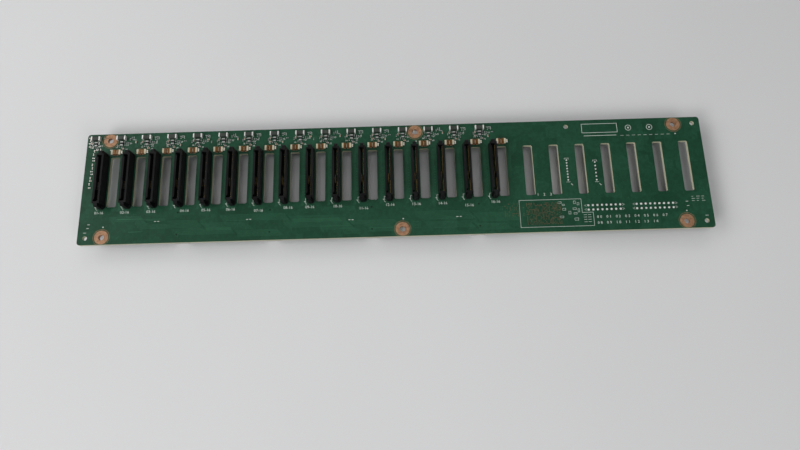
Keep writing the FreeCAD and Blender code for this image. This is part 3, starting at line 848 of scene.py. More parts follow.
def moved(tree, source, offset):
    """The same geometry, shifted."""
    return add_node(
        tree, "GeometryNodeTransform", {"Geometry": source, "Translation": offset}
    ).outputs[0]


def vector_of(tree, x=0.0, y=0.0, z=0.0):
    """A vector from three values or sockets."""
    return add_node(tree, "ShaderNodeCombineXYZ", {"X": x, "Y": y, "Z": z}).outputs[0]


def arithmetic(tree, operation, one, other):
    """One step of arithmetic between two values or sockets."""
    return add_node(tree, "ShaderNodeMath", {0: one, 1: other}, operation=operation).outputs[0]


def stamped(tree, points, shape, face_down=0.0):
    """A shape at every point, turned about Z by the point's own attribute."""
    turn = add_node(
        tree, "GeometryNodeInputNamedAttribute", {"Name": "turn"}, data_type="FLOAT"
    ).outputs["Attribute"]
    rotation = vector_of(tree, face_down, 0.0, turn)
    copies = add_node(
        tree,
        "GeometryNodeInstanceOnPoints",
        {"Points": points, "Instance": shape, "Rotation": rotation},
    ).outputs[0]
    return add_node(tree, "GeometryNodeRealizeInstances", {"Geometry": copies}).outputs[0]


def joint_tree():
    """A solder joint at every point: a fillet of solder with the pin's tip standing out of it."""
    tree, given = start_tree(
        "solder_joints",
        [
            ("Joint Radius", "NodeSocketFloat"),
            ("Joint Height", "NodeSocketFloat"),
            ("Pin Radius", "NodeSocketFloat"),
            ("Pin Height", "NodeSocketFloat"),
            ("Pad Radius", "NodeSocketFloat"),
            ("Pad Height", "NodeSocketFloat"),
            ("Sides", "NodeSocketInt"),
            ("Face Down", "NodeSocketFloat"),
            ("Solder", "NodeSocketMaterial"),
        ],
    )

    def cone(bottom, top, depth):
        """A round solid with as many sides as the joint has."""
        return add_node(
            tree,
            "GeometryNodeMeshCone",
            {
                "Vertices": given["Sides"],
                "Radius Bottom": bottom,
                "Radius Top": top,
                "Depth": depth,
            },
        ).outputs["Mesh"]

    shoulder_share = 0.55
    shoulder = arithmetic(tree, "MULTIPLY", given["Joint Radius"], shoulder_share)
    half = arithmetic(tree, "MULTIPLY", given["Joint Height"], 0.5)
    pad = cone(given["Pad Radius"], given["Pad Radius"], given["Pad Height"])
    skirt = cone(given["Joint Radius"], shoulder, half)
    crown = moved(tree, cone(shoulder, given["Pin Radius"], half), vector_of(tree, z=half))
    pin = cone(given["Pin Radius"], given["Pin Radius"], given["Pin Height"])
    shape = combined(tree, pad, skirt, crown, pin)
    copies = stamped(tree, given["Geometry"], shape, given["Face Down"])
    end_tree(tree, painted(tree, copies, given["Solder"]))
    return tree


def chip_part_tree():
    """A small surface part at every point: a body between two metal end caps."""
    tree, given = start_tree(
        "chip_parts",
        [
            ("Length", "NodeSocketFloat"),
            ("Width", "NodeSocketFloat"),
            ("Height", "NodeSocketFloat"),
            ("Cap Length", "NodeSocketFloat"),
            ("Inset", "NodeSocketFloat"),
            ("Face Down", "NodeSocketFloat"),
            ("Body", "NodeSocketMaterial"),
            ("Caps", "NodeSocketMaterial"),
        ],
    )

    def cube(size_x, size_y, size_z):
        """A box about the origin."""
        return add_node(
            tree, "GeometryNodeMeshCube", {"Size": vector_of(tree, size_x, size_y, size_z)}
        ).outputs["Mesh"]

    both_caps = arithmetic(tree, "MULTIPLY", given["Cap Length"], 2.0)
    between = arithmetic(tree, "SUBTRACT", given["Length"], both_caps)
    thin = arithmetic(tree, "MULTIPLY", given["Inset"], 2.0)
    body_width = arithmetic(tree, "SUBTRACT", given["Width"], thin)
    body_height = arithmetic(tree, "SUBTRACT", given["Height"], given["Inset"])
    body_level = arithmetic(tree, "MULTIPLY", body_height, 0.5)
    cap_level = arithmetic(tree, "MULTIPLY", given["Height"], 0.5)
    reach = arithmetic(tree, "SUBTRACT", given["Length"], given["Cap Length"])
    right = arithmetic(tree, "MULTIPLY", reach, 0.5)
    left = arithmetic(tree, "MULTIPLY", reach, -0.5)
    body = moved(tree, cube(between, body_width, body_height), vector_of(tree, z=body_level))
    cap = cube(given["Cap Length"], given["Width"], given["Height"])
    caps = combined(
        tree,
        moved(tree, cap, vector_of(tree, left, z=cap_level)),
        moved(tree, cap, vector_of(tree, right, z=cap_level)),
    )
    shape = combined(tree, body, marked(tree, caps))
    copies = stamped(tree, given["Geometry"], shape, given["Face Down"])
    end_tree(tree, painted_twice(tree, copies, given["Body"], given["Caps"]))
    return tree


def master_tree():
    """Copies of a made shape at every point: a body, and a window of another material."""
    tree, given = start_tree(
        "master_copies",
        [
            ("Body Shape", "NodeSocketObject"),
            ("Window Shape", "NodeSocketObject"),
            ("Face Down", "NodeSocketFloat"),
            ("Body", "NodeSocketMaterial"),
            ("Window", "NodeSocketMaterial"),
        ],
    )

    def taken(label):
        """The shape of a made object."""
        info = add_node(tree, "GeometryNodeObjectInfo", {"Object": given[label]})
        return info.outputs["Geometry"]

    shape = combined(tree, taken("Body Shape"), marked(tree, taken("Window Shape")))
    copies = stamped(tree, given["Geometry"], shape, given["Face Down"])
    end_tree(tree, painted_twice(tree, copies, given["Body"], given["Window"]))
    return tree


def via_tree():
    """A field of vias on a grid, some left out at random with a fixed seed."""
    tree, given = start_tree(
        "via_field",
        [
            ("Size X", "NodeSocketFloat"),
            ("Size Y", "NodeSocketFloat"),
            ("Columns", "NodeSocketInt"),
            ("Rows", "NodeSocketInt"),
            ("Left Out", "NodeSocketFloat"),
            ("Seed", "NodeSocketInt"),
            ("Via Radius", "NodeSocketFloat"),
            ("Via Height", "NodeSocketFloat"),
            ("Place", "NodeSocketVector"),
            ("Ring", "NodeSocketMaterial"),
        ],
    )
    grid = add_node(
        tree,
        "GeometryNodeMeshGrid",
        {
            "Size X": given["Size X"],
            "Size Y": given["Size Y"],
            "Vertices X": given["Columns"],
            "Vertices Y": given["Rows"],
        },
    ).outputs["Mesh"]
    chosen = add_node(
        tree,
        "FunctionNodeRandomValue",
        {"Probability": given["Left Out"], "Seed": given["Seed"]},
        data_type="BOOLEAN",
    ).outputs[3]
    via = add_node(
        tree,
        "GeometryNodeMeshCylinder",
        {"Vertices": 8, "Radius": given["Via Radius"], "Depth": given["Via Height"]},
    ).outputs["Mesh"]
    points = add_node(tree, "GeometryNodeMeshToPoints", {"Mesh": grid}).outputs[0]
    thinned = add_node(
        tree,
        "GeometryNodeDeleteGeometry",
        {"Geometry": points, "Selection": chosen},
        domain="POINT",
    ).outputs[0]
    field = stamped(tree, thinned, via)
    field = moved(tree, field, given["Place"])
    end_tree(tree, painted(tree, field, given["Ring"]))
    return tree


def groove_tree():
    """Cuts a row of grooves, one beside each contact, into a housing's tongue slot."""
    tree, given = start_tree(
        "contact_grooves",
        [
            ("Count", "NodeSocketInt"),
            ("Start", "NodeSocketVector"),
            ("Pitch", "NodeSocketFloat"),
            ("Groove Size", "NodeSocketVector"),
            ("Plastic", "NodeSocketMaterial"),
        ],
    )
    line = add_node(
        tree,
        "GeometryNodeMeshLine",
        {
            "Count": given["Count"],
            "Start Location": given["Start"],
            "Offset": vector_of(tree, y=given["Pitch"]),
        },
    ).outputs[0]
    cutter = add_node(tree, "GeometryNodeMeshCube", {"Size": given["Groove Size"]}).outputs["Mesh"]
    cutters = stamped(tree, line, cutter)
    cut = add_node(
        tree,
        "GeometryNodeMeshBoolean",
        {"Mesh 1": given["Geometry"], "Mesh 2": cutters},
        operation="DIFFERENCE",
        solver="EXACT",
    ).outputs["Mesh"]
    end_tree(tree, painted(tree, cut, given["Plastic"]))
    return tree


TREES = {}


def shared_tree(maker):
    """The tree that a maker function builds, made once and then shared."""
    if maker.__name__ not in TREES:
        TREES[maker.__name__] = maker()
    return TREES[maker.__name__]


DOWNWARDS = math.pi


def joints(name, places, joint, pin, pad_radius, sides, down=False, metal=solder):
    """Solder joints on the front or, turned over, on the back.

    The joint and the pin that stands out of it are each given as (radius, height).
    """
    return grow(
        name,
        seed_points(places),
        shared_tree(joint_tree),
        {
            "Joint Radius": joint[0],
            "Joint Height": joint[1],
            "Pin Radius": pin[0],
            "Pin Height": pin[1],
            "Pad Radius": pad_radius,
            "Pad Height": board_settings().film,
            "Sides": sides,
            "Face Down": DOWNWARDS if down else 0.0,
            "Solder": finish(metal),
        },
    )


def chip_parts(name, places, turns, size, cap, body, inset=0.02 * MM, down=False, caps=solder):
    """Small surface parts of one size at the given places."""
    return grow(
        name,
        seed_points(places, turns),
        shared_tree(chip_part_tree),
        {
            "Length": size[0],
            "Width": size[1],
            "Height": size[2],
            "Cap Length": cap,
            "Inset": inset,
            "Face Down": DOWNWARDS if down else 0.0,
            "Body": finish(body),
            "Caps": finish(caps),
        },
    )


# ---------------------------------------------------------------------- the board's own surface


class BACKPLANE_OT_board(bpy.types.Operator):
    """Solder mask on the board, with its bare copper screw pads and the plated hole walls"""

    bl_idname = "backplane.board"
    bl_label = "Board and screw pads"

    def execute(self, context):
        look = board_settings()
        dress("backplane_board", solder_mask)
        form = bmesh.new()
        line = look.ink_width * 0.8
        lip_width = 0.55 * MM
        for centre in screw_holes():
            for low, high in ((FRONT, FRONT + look.film), (BACK - look.film, BACK)):
                add_ring(form, centre, look.hole_radius, look.pad_radius, low, high)
                add_ring(form, centre, look.ring_radius - line, look.ring_radius, low, high)
            lining = look.hole_radius - look.film
            add_ring(form, centre, lining, look.hole_radius, BACK, FRONT)
            lip = look.hole_radius + lip_width
            add_ring(form, centre, look.hole_radius, lip, FRONT, FRONT + 3 * look.film)
        trim_at_edges(form, look.film)
        settle(keep(form, "screw_pads", bare_copper), "laminate")
        return {"FINISHED"}


# A bundle of tracks: bay at its start, bay at its end, height on the board, how many tracks.
LOWER_BUNDLES = (
    (1.0, 3.1, -20.4, 5),
    (2.0, 6.2, -24.2, 7),
    (3.4, 7.4, -29.8, 6),
    (5.2, 9.6, -21.2, 6),
    (7.6, 11.8, -25.4, 8),
    (9.0, 12.0, -30.6, 4),
    (12.6, 16.2, -22.6, 8),
    (13.0, 16.0, -30.0, 6),
)


class BACKPLANE_OT_tracks(bpy.types.Operator):
    """Bundles of tracks under the mask, between the air slots and along the lower strip"""

    bl_idname = "backplane.tracks"
    bl_label = "Tracks"

    def execute(self, context):
        look = board_settings()
        thick = look.film * 0.6
        for side, low in (("front", FRONT), ("back", BACK - thick)):
            form = bmesh.new()
            high = low + thick
            self.add_bundles(form, look, low, high)
            self.add_risers(form, look, low, high)
            settle(keep(form, f"tracks_{side}", masked_copper), "laminate")
        return {"FINISHED"}

    def add_bundles(self, form, look, low, high):
        """Long runs along X, each with a jog of 45 degrees near its middle."""
        gap = look.trace_width * 2.4
        jog = 2.2 * MM
        jog_share = 0.55
        for start_bay, end_bay, level, count in LOWER_BUNDLES:
            start = bay_x(start_bay)
            end = bay_x(end_bay)
            for index in range(count):
                shift = gap * index
                y = level * MM - shift
                turn = start + (end - start) * jog_share + shift
                path = [
                    (start + shift, y - jog),
                    (start + shift, y),
                    (turn, y),
                    (turn + jog, y - jog),
                    (end + shift, y - jog),
                ]
                add_strip(form, path, look.trace_width * 0.6, low, high)

    def add_risers(self, form, look, low, high):
        """Three tracks that run up between an air slot and the next receptacle."""
        beside_slot = 5.0 * MM
        for slot in SLOT_X[: FITTED - 1]:
            x = slot + beside_slot
            for index in range(3):
                across = x + index * look.trace_width * 1.8
                path = [
                    (across - 0.8 * MM, SLOT_FOOT - 3.2 * MM),
                    (across, SLOT_FOOT - 2.2 * MM),
                    (across, SLOT_TOP - 1.5 * MM),
                    (across + 0.9 * MM, SLOT_TOP + 0.2 * MM),
                ]
                add_strip(form, path, look.trace_width * 0.55, low, high)


# Fields of vias round the expander chip: name, offset from its middle, size, columns and rows,
# share left out, seed, finish. Offsets and sizes are in millimetres.
CHIP_VIAS = (
    ("chip_vias", (0.0, 0.0), (23.0, 15.0), (29, 19), 0.30, 3, tented_via),
    ("chip_bare_vias", (0.4, 0.0), (22.2, 14.2), (28, 18), 0.45, 8, brown_via),
    ("chip_left_vias", (-19.0, 3.0), (12.0, 8.0), (11, 7), 0.55, 5, brown_via),
)
# Groups of vias in the lower strip: the bay of each, and the heights, which take turns.
STRIP_VIA_BAYS = (1.9, 4.3, 6.0, 8.3, 10.5, 12.5, 14.6, 16.0)
STRIP_VIA_LEVELS = (-20.0, -31.5, -27.5, -23.0)
FIRST_STRIP_SEED = 20


class BACKPLANE_OT_vias(bpy.types.Operator):
    """Vias: fields round the expander chip, and small groups along the lower strip"""

    bl_idname = "backplane.vias"
    bl_label = "Vias"

    def execute(self, context):
        chip = middle("expander_chip")
        for name, offset, *field in CHIP_VIAS:
            place = (chip.x + offset[0] * MM, chip.y + offset[1] * MM)
            self.add_field(name, place, *field)
        for index, bay in enumerate(STRIP_VIA_BAYS):
            level = STRIP_VIA_LEVELS[index % len(STRIP_VIA_LEVELS)]
            place = (bay_x(bay), level * MM)
            seed = FIRST_STRIP_SEED + index
            name = f"strip_vias_{index + 1}"
            self.add_field(name, place, (9.0, 4.0), (9, 5), 0.4, seed, masked_copper)
        return {"FINISHED"}

    def add_field(self, name, place, size, counts, left_out, seed, maker):
        """One field of vias, on the front and on the back."""
        for side, level in (("front", FRONT), ("back", BACK)):
            piece = grow(
                f"{name}_{side}",
                seed_points([(0, 0, 0)]),
                shared_tree(via_tree),
                {
                    "Size X": size[0] * MM,
                    "Size Y": size[1] * MM,
                    "Columns": counts[0],
                    "Rows": counts[1],
                    "Left Out": left_out,
                    "Seed": seed,
                    "Via Radius": 0.24 * MM,
                    "Via Height": board_settings().film * 2,
                    "Place": (place[0], place[1], level),
                    "Ring": finish(maker),
                },
            )
            settle(piece, "laminate")


# Test marks beside the expander chip: across and down from the outline's corner, and their size.
CHIP_MARKS = (
    (26.6, 2.3, 2.2, 1.2),
    (28.9, 3.9, 1.5, 0.9),
    (36.4, 2.3, 1.2, 1.9),
    (38.7, 3.4, 1.2, 1.5),
    (36.2, 6.7, 2.2, 1.2),
    (38.8, 7.9, 1.0, 2.1),
    (36.5, 9.9, 2.0, 1.0),
    (29.3, 6.9, 2.0, 1.3),
    (32.8, 9.3, 1.3, 1.9),
    (27.3, 12.1, 2.5, 1.1),
    (36.9, 13.8, 2.5, 1.5),
)
# Where each bay's number stands: beside its receptacle's middle, and below its foot.
LABEL_PLACES = (
    (-1.3, 2.4),
    (-1.6, 2.4),
    (-1.5, 2.4),
    (3.4, 2.4),
    (0.2, 2.4),
    (-0.9, 2.4),
    (0.3, 3.8),
    (2.4, 2.4),
    (-0.6, 2.4),
    (0.4, 2.4),
    (0.2, 4.3),
    (0.2, 2.4),
    (0.2, 2.4),
    (0.2, 2.4),
    (0.2, 4.3),
    (0.2, 2.4),
)
# Strokes beside a receptacle's first contact: across from its left side, and up from its foot.
CONTACT_BRACKET = ((0.9, 3.6), (0.0, 3.6), (0.0, 0.4), (0.9, -0.5))
CONTACT_TICK = ((-0.9, 1.8), (-0.2, 1.2))
# Figures by a bay's small parts: across from its air slot, and down from the upper edge.
BAY_FIGURES = ((-17.6, 9.9), (-10.4, 8.6), (-10.9, 11.6), (-7.9, 7.2))
BAY_FIGURE_HEIGHT = 1.15 * MM
# Strokes by a bay's small parts, which take turns: across from its air slot, and down.
UPPER_STROKE = ((-9.6, 2.9), (-6.4, 2.9), (-6.4, 4.8))
CORNER_STROKE = ((-6.2, 2.2), (-6.2, 4.6), (-4.4, 4.6))
BAY_STROKES = (UPPER_STROKE, CORNER_STROKE, UPPER_STROKE, UPPER_STROKE)
# Bays at which the chip's outline and the marks of the right end stand.
CHIP_OUTLINE_BAYS = (16.52, 18.86, 19.27)
MARKING_BOX_BAY = 19.86
TARGET_BAYS = (20.98, 21.8)
DASH_ROW_BAY = 20.65
NUMBER_ROW_BAY = 19.37
DASH_BLOCK_BAY = 23.02
DASH_RUNS = (1.2, 2.2, 1.7)
# Rows of plain numbers: the figures, the row's length, its height above the lower edge.
NUMBER_ROWS = (
    ("00 01 02 03 04 05 06 07", 47.0, 9.2),
    ("08 09 10 11 12 13 14", 40.4, 5.2),
)
# Pairs of dashes in the lower strip: bay, and height above the lower edge.
STRIP_DASHES = ((2.79, 14.8), (6.28, 14.4), (10.15, 12.1), (14.22, 12.2))
NUMBERED_BAYS = (17.26, 17.5, 17.75)
# Fine lines in the lower strip: left end, right end, height on the board.
GUIDE_LINES = ((-184.0, -166.8, -22.2), (-176.0, -167.3, -31.0))
DOT_WIDTH = 0.7 * MM


class BACKPLANE_OT_silkscreen(bpy.types.Operator):
    """Printed marks: bay numbers, outlines, pin marks and an empty box for hand marking"""

    bl_idname = "backplane.silkscreen"
    bl_label = "Printed marks"

    def execute(self, context):
        look = board_settings()
        self.low = FRONT
        self.high = FRONT + look.film
        self.line = look.ink_width
        form = bmesh.new()
        self.add_bay_marks(form, look)
        self.add_chip_box(form)
        self.add_header_marks(form)
        self.add_right_end_marks(form, look)
        self.add_small_marks(form)
        settle(keep(form, "printed_marks_front", printed_ink), "laminate")
        form = bmesh.new()
        self.add_guide_lines(form)
        settle(keep(form, "guide_lines", faint_line), "laminate")
        form = bmesh.new()
        self.low = BACK - look.film
        self.high = BACK
        self.add_rear_outlines(form)
        settle(keep(form, "printed_marks_back", printed_ink), "laminate")
        return {"FINISHED"}

    def stroke(self, form, path, closed=False, width=None):
        """A printed line through (x, y) corners in millimetres."""
        metres = [(x * MM, y * MM) for x, y in path]
        add_strip(form, metres, width or self.line, self.low, self.high, closed)

    def dash(self, form, left, right, y, width=None):
        """A printed line along X."""
        self.stroke(form, [(left, y), (right, y)], width=width)

    def box(self, form, x, y, size_x, size_y, width=None):
        """A printed outline round a middle."""
        half_x = size_x / 2
        half_y = size_y / 2
        path = [
            (x - half_x, y - half_y),
            (x + half_x, y - half_y),
            (x + half_x, y + half_y),
            (x - half_x, y + half_y),
        ]
        self.stroke(form, path, closed=True, width=width)

    def figures(self, form, text, height, x, y):
        """Printed figures, centred on a place in millimetres."""
        add_number(form, text, height, (x * MM, y * MM), self.low, self.high)

    def add_bay_marks(self, form, look):
        """A number below each receptacle, a bracket at its first contact, marks by its parts."""
        top = BOARD_HIGH.y / MM
        bays = zip(RECEPTACLES, SLOT_X, LABEL_PLACES)
        for index, (node, slot_x, (aside, drop)) in enumerate(bays, start=1):
            low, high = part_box(node)
            x = (low.x + high.x) / 2 / MM
            foot = low.y / MM
            number = f"{index:02d}-{FITTED}"
            self.figures(form, number, look.number_height, x + aside, foot - drop)
            left = low.x / MM - 1.1
            self.stroke(form, [(left + across, foot + up) for across, up in CONTACT_BRACKET])
            tick = [(left + across, foot + up) for across, up in CONTACT_TICK]
            self.stroke(form, tick, width=self.line * 1.6)
            slot = slot_x / MM
            for step, (across, down) in enumerate(BAY_FIGURES):
                number = str((index * 4 + step) % 90 + 10)
                self.figures(form, number, BAY_FIGURE_HEIGHT, slot + across, top - down)
            path = BAY_STROKES[(index - 1) % len(BAY_STROKES)]
            self.stroke(form, [(slot + across, top - down) for across, down in path])

    def add_chip_box(self, form):
        """Outline that frames the place of the expander chip and its test marks."""
        left, right, end = (bay_x(bay) / MM for bay in CHIP_OUTLINE_BAYS)
        top = SLOT_FOOT / MM - 3.9
        step = top - 9.4
        foot = BOARD_LOW.y / MM + 3.4
        outline = [(left, top), (right, top), (right, step), (end, step), (end, foot), (left, foot)]
        self.stroke(form, outline, closed=True)
        for across, down, size_x, size_y in CHIP_MARKS:
            self.box(form, left + across, top - down, size_x, size_y, width=self.line * 0.8)
        for row in range(4):
            y = step - 1.6 - row * 1.6
            self.dash(form, end - 6.4, end - 4.4, y)
            self.dash(form, end - 3.7, end - 1.6, y)

    def add_header_marks(self, form):
        """Arrow strokes at the ends of the power headers' rows, brackets at the small headers."""
        for node in ("left_supply_pins", "right_supply_pins"):
            low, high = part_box(node)
            for x, turn in ((low.x / MM - 0.9, -1), (high.x / MM + 0.9, 1)):
                for y in (low.y / MM + 0.4, high.y / MM - 0.4):
                    path = [(x, y + 0.7), (x + 1.4 * turn, y), (x, y - 0.7)]
                    self.stroke(form, path, width=self.line * 0.7)
        for node in ("panel_header_pins", "service_header_pins"):
            low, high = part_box(node)
            x = (low.x + high.x) / 2 / MM
            y = high.y / MM + 1.1
            self.stroke(form, [(x - 1.3, y - 1.0), (x - 1.3, y), (x + 1.3, y), (x + 1.3, y - 1.0)])
            foot = low.y / MM - 1.1
            self.dash(form, x - 1.3, x + 1.3, foot)
            self.stroke(form, [(x + 1.6, foot - 1.2), (x + 2.8, foot - 2.4)], width=self.line * 1.5)

    def add_right_end_marks(self, form, look):
        """An empty box with a rule and dashes below it, two targets, two rows of plain numbers."""
        box_x = bay_x(MARKING_BOX_BAY) / MM
        top = BOARD_HIGH.y / MM
        foot = BOARD_LOW.y / MM
        self.box(form, box_x, top - 6.2, 24.0, 6.4, width=self.line * 1.3)
        self.dash(form, box_x - 11.0, box_x + 11.0, top - 11.6, width=self.line * 1.4)
        for bay in TARGET_BAYS:
            self.ring_mark(form, bay_x(bay), BOARD_HIGH.y - 6.5 * MM)
        for index in range(9):
            x = bay_x(DASH_ROW_BAY) / MM + index * 3.9
            self.dash(form, x, x + 2.1, top - 12.0, width=self.line * 0.9)
        start = bay_x(NUMBER_ROW_BAY) / MM
        height = look.number_height * 0.95
        for text, run, lift in NUMBER_ROWS:
            for index, figure in enumerate(text):
                if figure != " ":
                    x = start + (index + 0.5) * run / len(text)
                    self.figures(form, figure, height, x, foot + lift)
        for row in range(3):
            for column in range(3):
                x = bay_x(DASH_BLOCK_BAY) / MM + column * 3.3
                y = foot + 21.4 - row * 1.5
                self.dash(form, x, x + DASH_RUNS[(row + column) % len(DASH_RUNS)], y)

    def ring_mark(self, form, x, y):
        """A target for the placing machine: a dot in a ring."""
        add_ring(form, (x, y), 1.75 * MM, 2.05 * MM, self.low, self.high, 28)
        add_ring(form, (x, y), 0.15 * MM, 0.6 * MM, self.low, self.high, 16)

    def add_small_marks(self, form):
        """Pairs of dashes in the lower strip, three numbers, dots and dashes by the holes."""
        foot = BOARD_LOW.y / MM
        for bay, lift in STRIP_DASHES:
            x = bay_x(bay) / MM
            self.dash(form, x - 1.7, x - 0.3, foot + lift, width=self.line * 1.6)
            self.dash(form, x + 0.5, x + 1.7, foot + lift, width=self.line * 1.6)
        for number, bay in enumerate(NUMBERED_BAYS, start=1):
            place = (bay_x(bay), SLOT_FOOT - 0.2 * MM)
            add_number(form, str(number), 1.9 * MM, place, self.low, self.high)
        for x, y in screw_holes():
            side = 1 if y < 0 else -1
            dot = (x / MM + 0.6, y / MM + side * 6.9)
            self.dash(form, dot[0] - 0.4, dot[0] + 0.4, dot[1], width=DOT_WIDTH)
        left = BOARD_LOW.x / MM
        right = BOARD_HIGH.x / MM
        beside_holes = (
            (left + 6.7, -25.2),
            (left + 6.3, -27.7),
            (right - 16.3, -20.9),
            (right - 16.0, -23.9),
        )
        for x, y in beside_holes:
            self.dash(form, x - 0.8, x + 0.8, y, width=self.line * 1.5)
        for x in (left + 4.7, right - 4.6):
            self.dash(form, x - 1.0, x + 1.0, -30.8, width=self.line * 1.3)

    def add_guide_lines(self, form):
        """Fine lines along the lower strip, at the left end."""
        for left, right, y in GUIDE_LINES:
            self.dash(form, left, right, y, width=self.line * 0.8)

    def add_rear_outlines(self, form):
        """Outlines round the parts on the back."""
        nodes = LINK_SHELLS + [
            "left_supply_housing",
            "right_supply_housing",
            "panel_header_housing",
            "service_header_housing",
            "expander_heatsink",
        ]
        for node in nodes:
            low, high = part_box(node)
            centre = (low + high) / 2
            size = high - low
            self.box(form, centre.x / MM, centre.y / MM, size.x / MM + 1.2, size.y / MM + 1.2)
            corner = (low.x / MM - 1.4, high.y / MM + 0.2)
            self.dash(form, corner[0] - 0.6, corner[0] + 0.2, corner[1], width=DOT_WIDTH)


# -------------------------------------------------------------------------- drive receptacles

# The contacts of a receptacle: pitches, half a contact's width, and how many stand in each row.
CONTACT_PITCH = 1.27 * MM
PORT_PITCH = 0.8 * MM
CONTACT_HALF = 0.35 * MM
SIGNAL_CONTACTS = 7
POWER_CONTACTS = 15
PORT_CONTACTS = 7
GROOVE_REACH = 5.0 * MM
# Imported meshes: corners closer than this are one, and edges flatter than this aren't kept.
SAME_CORNER = 0.001 * MM
FLAT_EDGE = 0.01


class BACKPLANE_OT_receptacles(bpy.types.Operator):
    """Receptacle housings with a groove beside each contact and softened moulded edges"""

    bl_idname = "backplane.receptacles"
    bl_label = "Drive receptacles"

    def execute(self, context):
        parts = part_settings()
        first = RECEPTACLES[0]
        origin = middle(first)
        grooved = self.grooved(first, parts)
        for node in RECEPTACLES:
            mesh = grooved.copy()
            mesh.transform(Matrix.Translation(middle(node) - origin))
            mesh.name = node.replace("drive_connector", "receptacle")
            settle(add_object(mesh.name, mesh), "connector_black", node)
        bpy.data.meshes.remove(grooved)
        for node in frame["nodes"]:
            if node.startswith("drive_contacts_"):
                dress(node, plated_gold)
        return {"FINISHED"}

    def grooved(self, node, parts):
        """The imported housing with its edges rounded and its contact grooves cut."""
        mesh = merged_copy(node)
        for spacing, count, start, side in contact_segments(node):
            along = parts.groove_width * spacing / CONTACT_PITCH
            carrier = grow(
                "grooved",
                mesh,
                shared_tree(groove_tree),
                {
                    "Count": count,
                    "Start": (side, start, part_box(node)[1].z),
                    "Pitch": spacing,
                    "Groove Size": (parts.groove_depth * 2, along, GROOVE_REACH),
                    "Plastic": finish(moulded_black),
                },
            )
            mesh = carrier.data.copy()
            bpy.data.objects.remove(carrier)
        return bevelled(mesh, parts.housing_bevel)


def merged_copy(node):
    """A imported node's mesh with its loose triangles joined and its flat faces made whole."""
    form = bmesh.new()
    form.from_mesh(frame["nodes"][node].data)
    bmesh.ops.remove_doubles(form, verts=form.verts, dist=SAME_CORNER)
    bmesh.ops.dissolve_limit(form, angle_limit=FLAT_EDGE, verts=form.verts, edges=form.edges)
    mesh = bpy.data.meshes.new(f"{node}_copy")
    form.to_mesh(mesh)
    form.free()
    return mesh


def bevelled(mesh, width):
    """A copy of a mesh with its sharp edges rounded."""
    carrier = add_object("bevelled", mesh)
    modifier = carrier.modifiers.new("edges", "BEVEL")
    modifier.width = width
    modifier.segments = 2
    modifier.limit_method = "ANGLE"
    modifier.angle_limit = math.radians(40)
    modifier.use_clamp_overlap = True
    return evaluated_mesh(carrier)


def stand_in(name, node, bevel, maker, slot):
    """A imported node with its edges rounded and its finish, shown in the node's stead."""
    mesh = bevelled(merged_copy(node), bevel)
    mesh.materials.clear()
    mesh.materials.append(finish(maker))
    settle(add_object(name, mesh), slot, node)


def contact_segments(node):
    """Rows of contacts as (pitch, count, first y, x of the wall they stand on)."""
    contacts = node.replace("connector", "contacts")
    low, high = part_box(contacts)
    signal_start = low.y + CONTACT_HALF
    signal_end = signal_start + CONTACT_PITCH * (SIGNAL_CONTACTS - 1)
    power_start = high.y - CONTACT_HALF - CONTACT_PITCH * (POWER_CONTACTS - 1)
    port_start = (signal_end + power_start) / 2 - PORT_PITCH * (PORT_CONTACTS - 1) / 2
    return (
        (CONTACT_PITCH, SIGNAL_CONTACTS, signal_start, high.x),
        (CONTACT_PITCH, POWER_CONTACTS, power_start, high.x),
        (PORT_PITCH, PORT_CONTACTS, port_start, low.x),
    )


class BACKPLANE_OT_receptacle_tails(bpy.types.Operator):
    """Soldered tails of the receptacles' contacts and pegs, on the back of the board"""

    bl_idname = "backplane.receptacle_tails"
    bl_label = "Receptacle tails"

    def execute(self, context):
        aside = 0.9 * MM
        peg_inset = 1.6 * MM
        places = []
        for node in RECEPTACLES:
            for spacing, count, start, side in contact_segments(node):
                for index in range(count):
                    offset = aside if index % 2 else -aside
                    places.append((side + offset, start + spacing * index, BACK))
            low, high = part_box(node)
            x = (low.x + high.x) / 2
            places += [(x, low.y + peg_inset, BACK), (x, high.y - peg_inset, BACK)]
        radius = part_settings().tail_radius
        joint = (radius, 0.5 * MM)
        pin = (0.18 * MM, 0.8 * MM)
        piece = joints("receptacle_tails", places, joint, pin, radius * 1.2, 8, down=True)
        settle(piece, "contact_gold")
        return {"FINISHED"}


class BACKPLANE_OT_test_points(bpy.types.Operator):
    """A row of faint test points beside each receptacle, on the front of the board"""

    bl_idname = "backplane.test_points"
    bl_label = "Test points"

    def execute(self, context):
        beside = 1.7 * MM
        places = []
        for node in RECEPTACLES:
            low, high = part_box(node)
            for step in range(11):
                y = (low.y + high.y) / 2 + (4.0 - 1.9 * step) * MM
                places.append((low.x - beside, y, FRONT))
        joint = (0.17 * MM, 0.06 * MM)
        pin = (0.1 * MM, 0.06 * MM)
        piece = joints("test_points", places, joint, pin, 0.24 * MM, 8, metal=faint_line)
        settle(piece, "pin_tin")
        return {"FINISHED"}


# ------------------------------------------------------------------------ lights, fuses, chips

# A status light: its middle from the air slot's, half its length, where its window starts, and
# the window's height as a share of the body's.
LIGHT_ASIDE = 1.75 * MM
LIGHT_HALF = 1.45 * MM
WINDOW_START = -0.2 * MM
WINDOW_HEIGHT = 0.86
# A bay's fuse: its length, and how far left of the air slot's middle it stands.
FUSE_LENGTH = 6.1 * MM
FUSE_ASIDE = 14.2 * MM


def light_shape(name, left, right, top):
    """One end of a status light about the light's own middle, with softened edges."""
    low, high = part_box("status_lights")
    half_y = (high.y - low.y) / 2
    form = bmesh.new()
    add_box(form, (left, -half_y, 0.0), (right, half_y, top * (high.z - low.z)))
    return add_object(name, bevelled(mesh_of(form, name), 0.07 * MM))


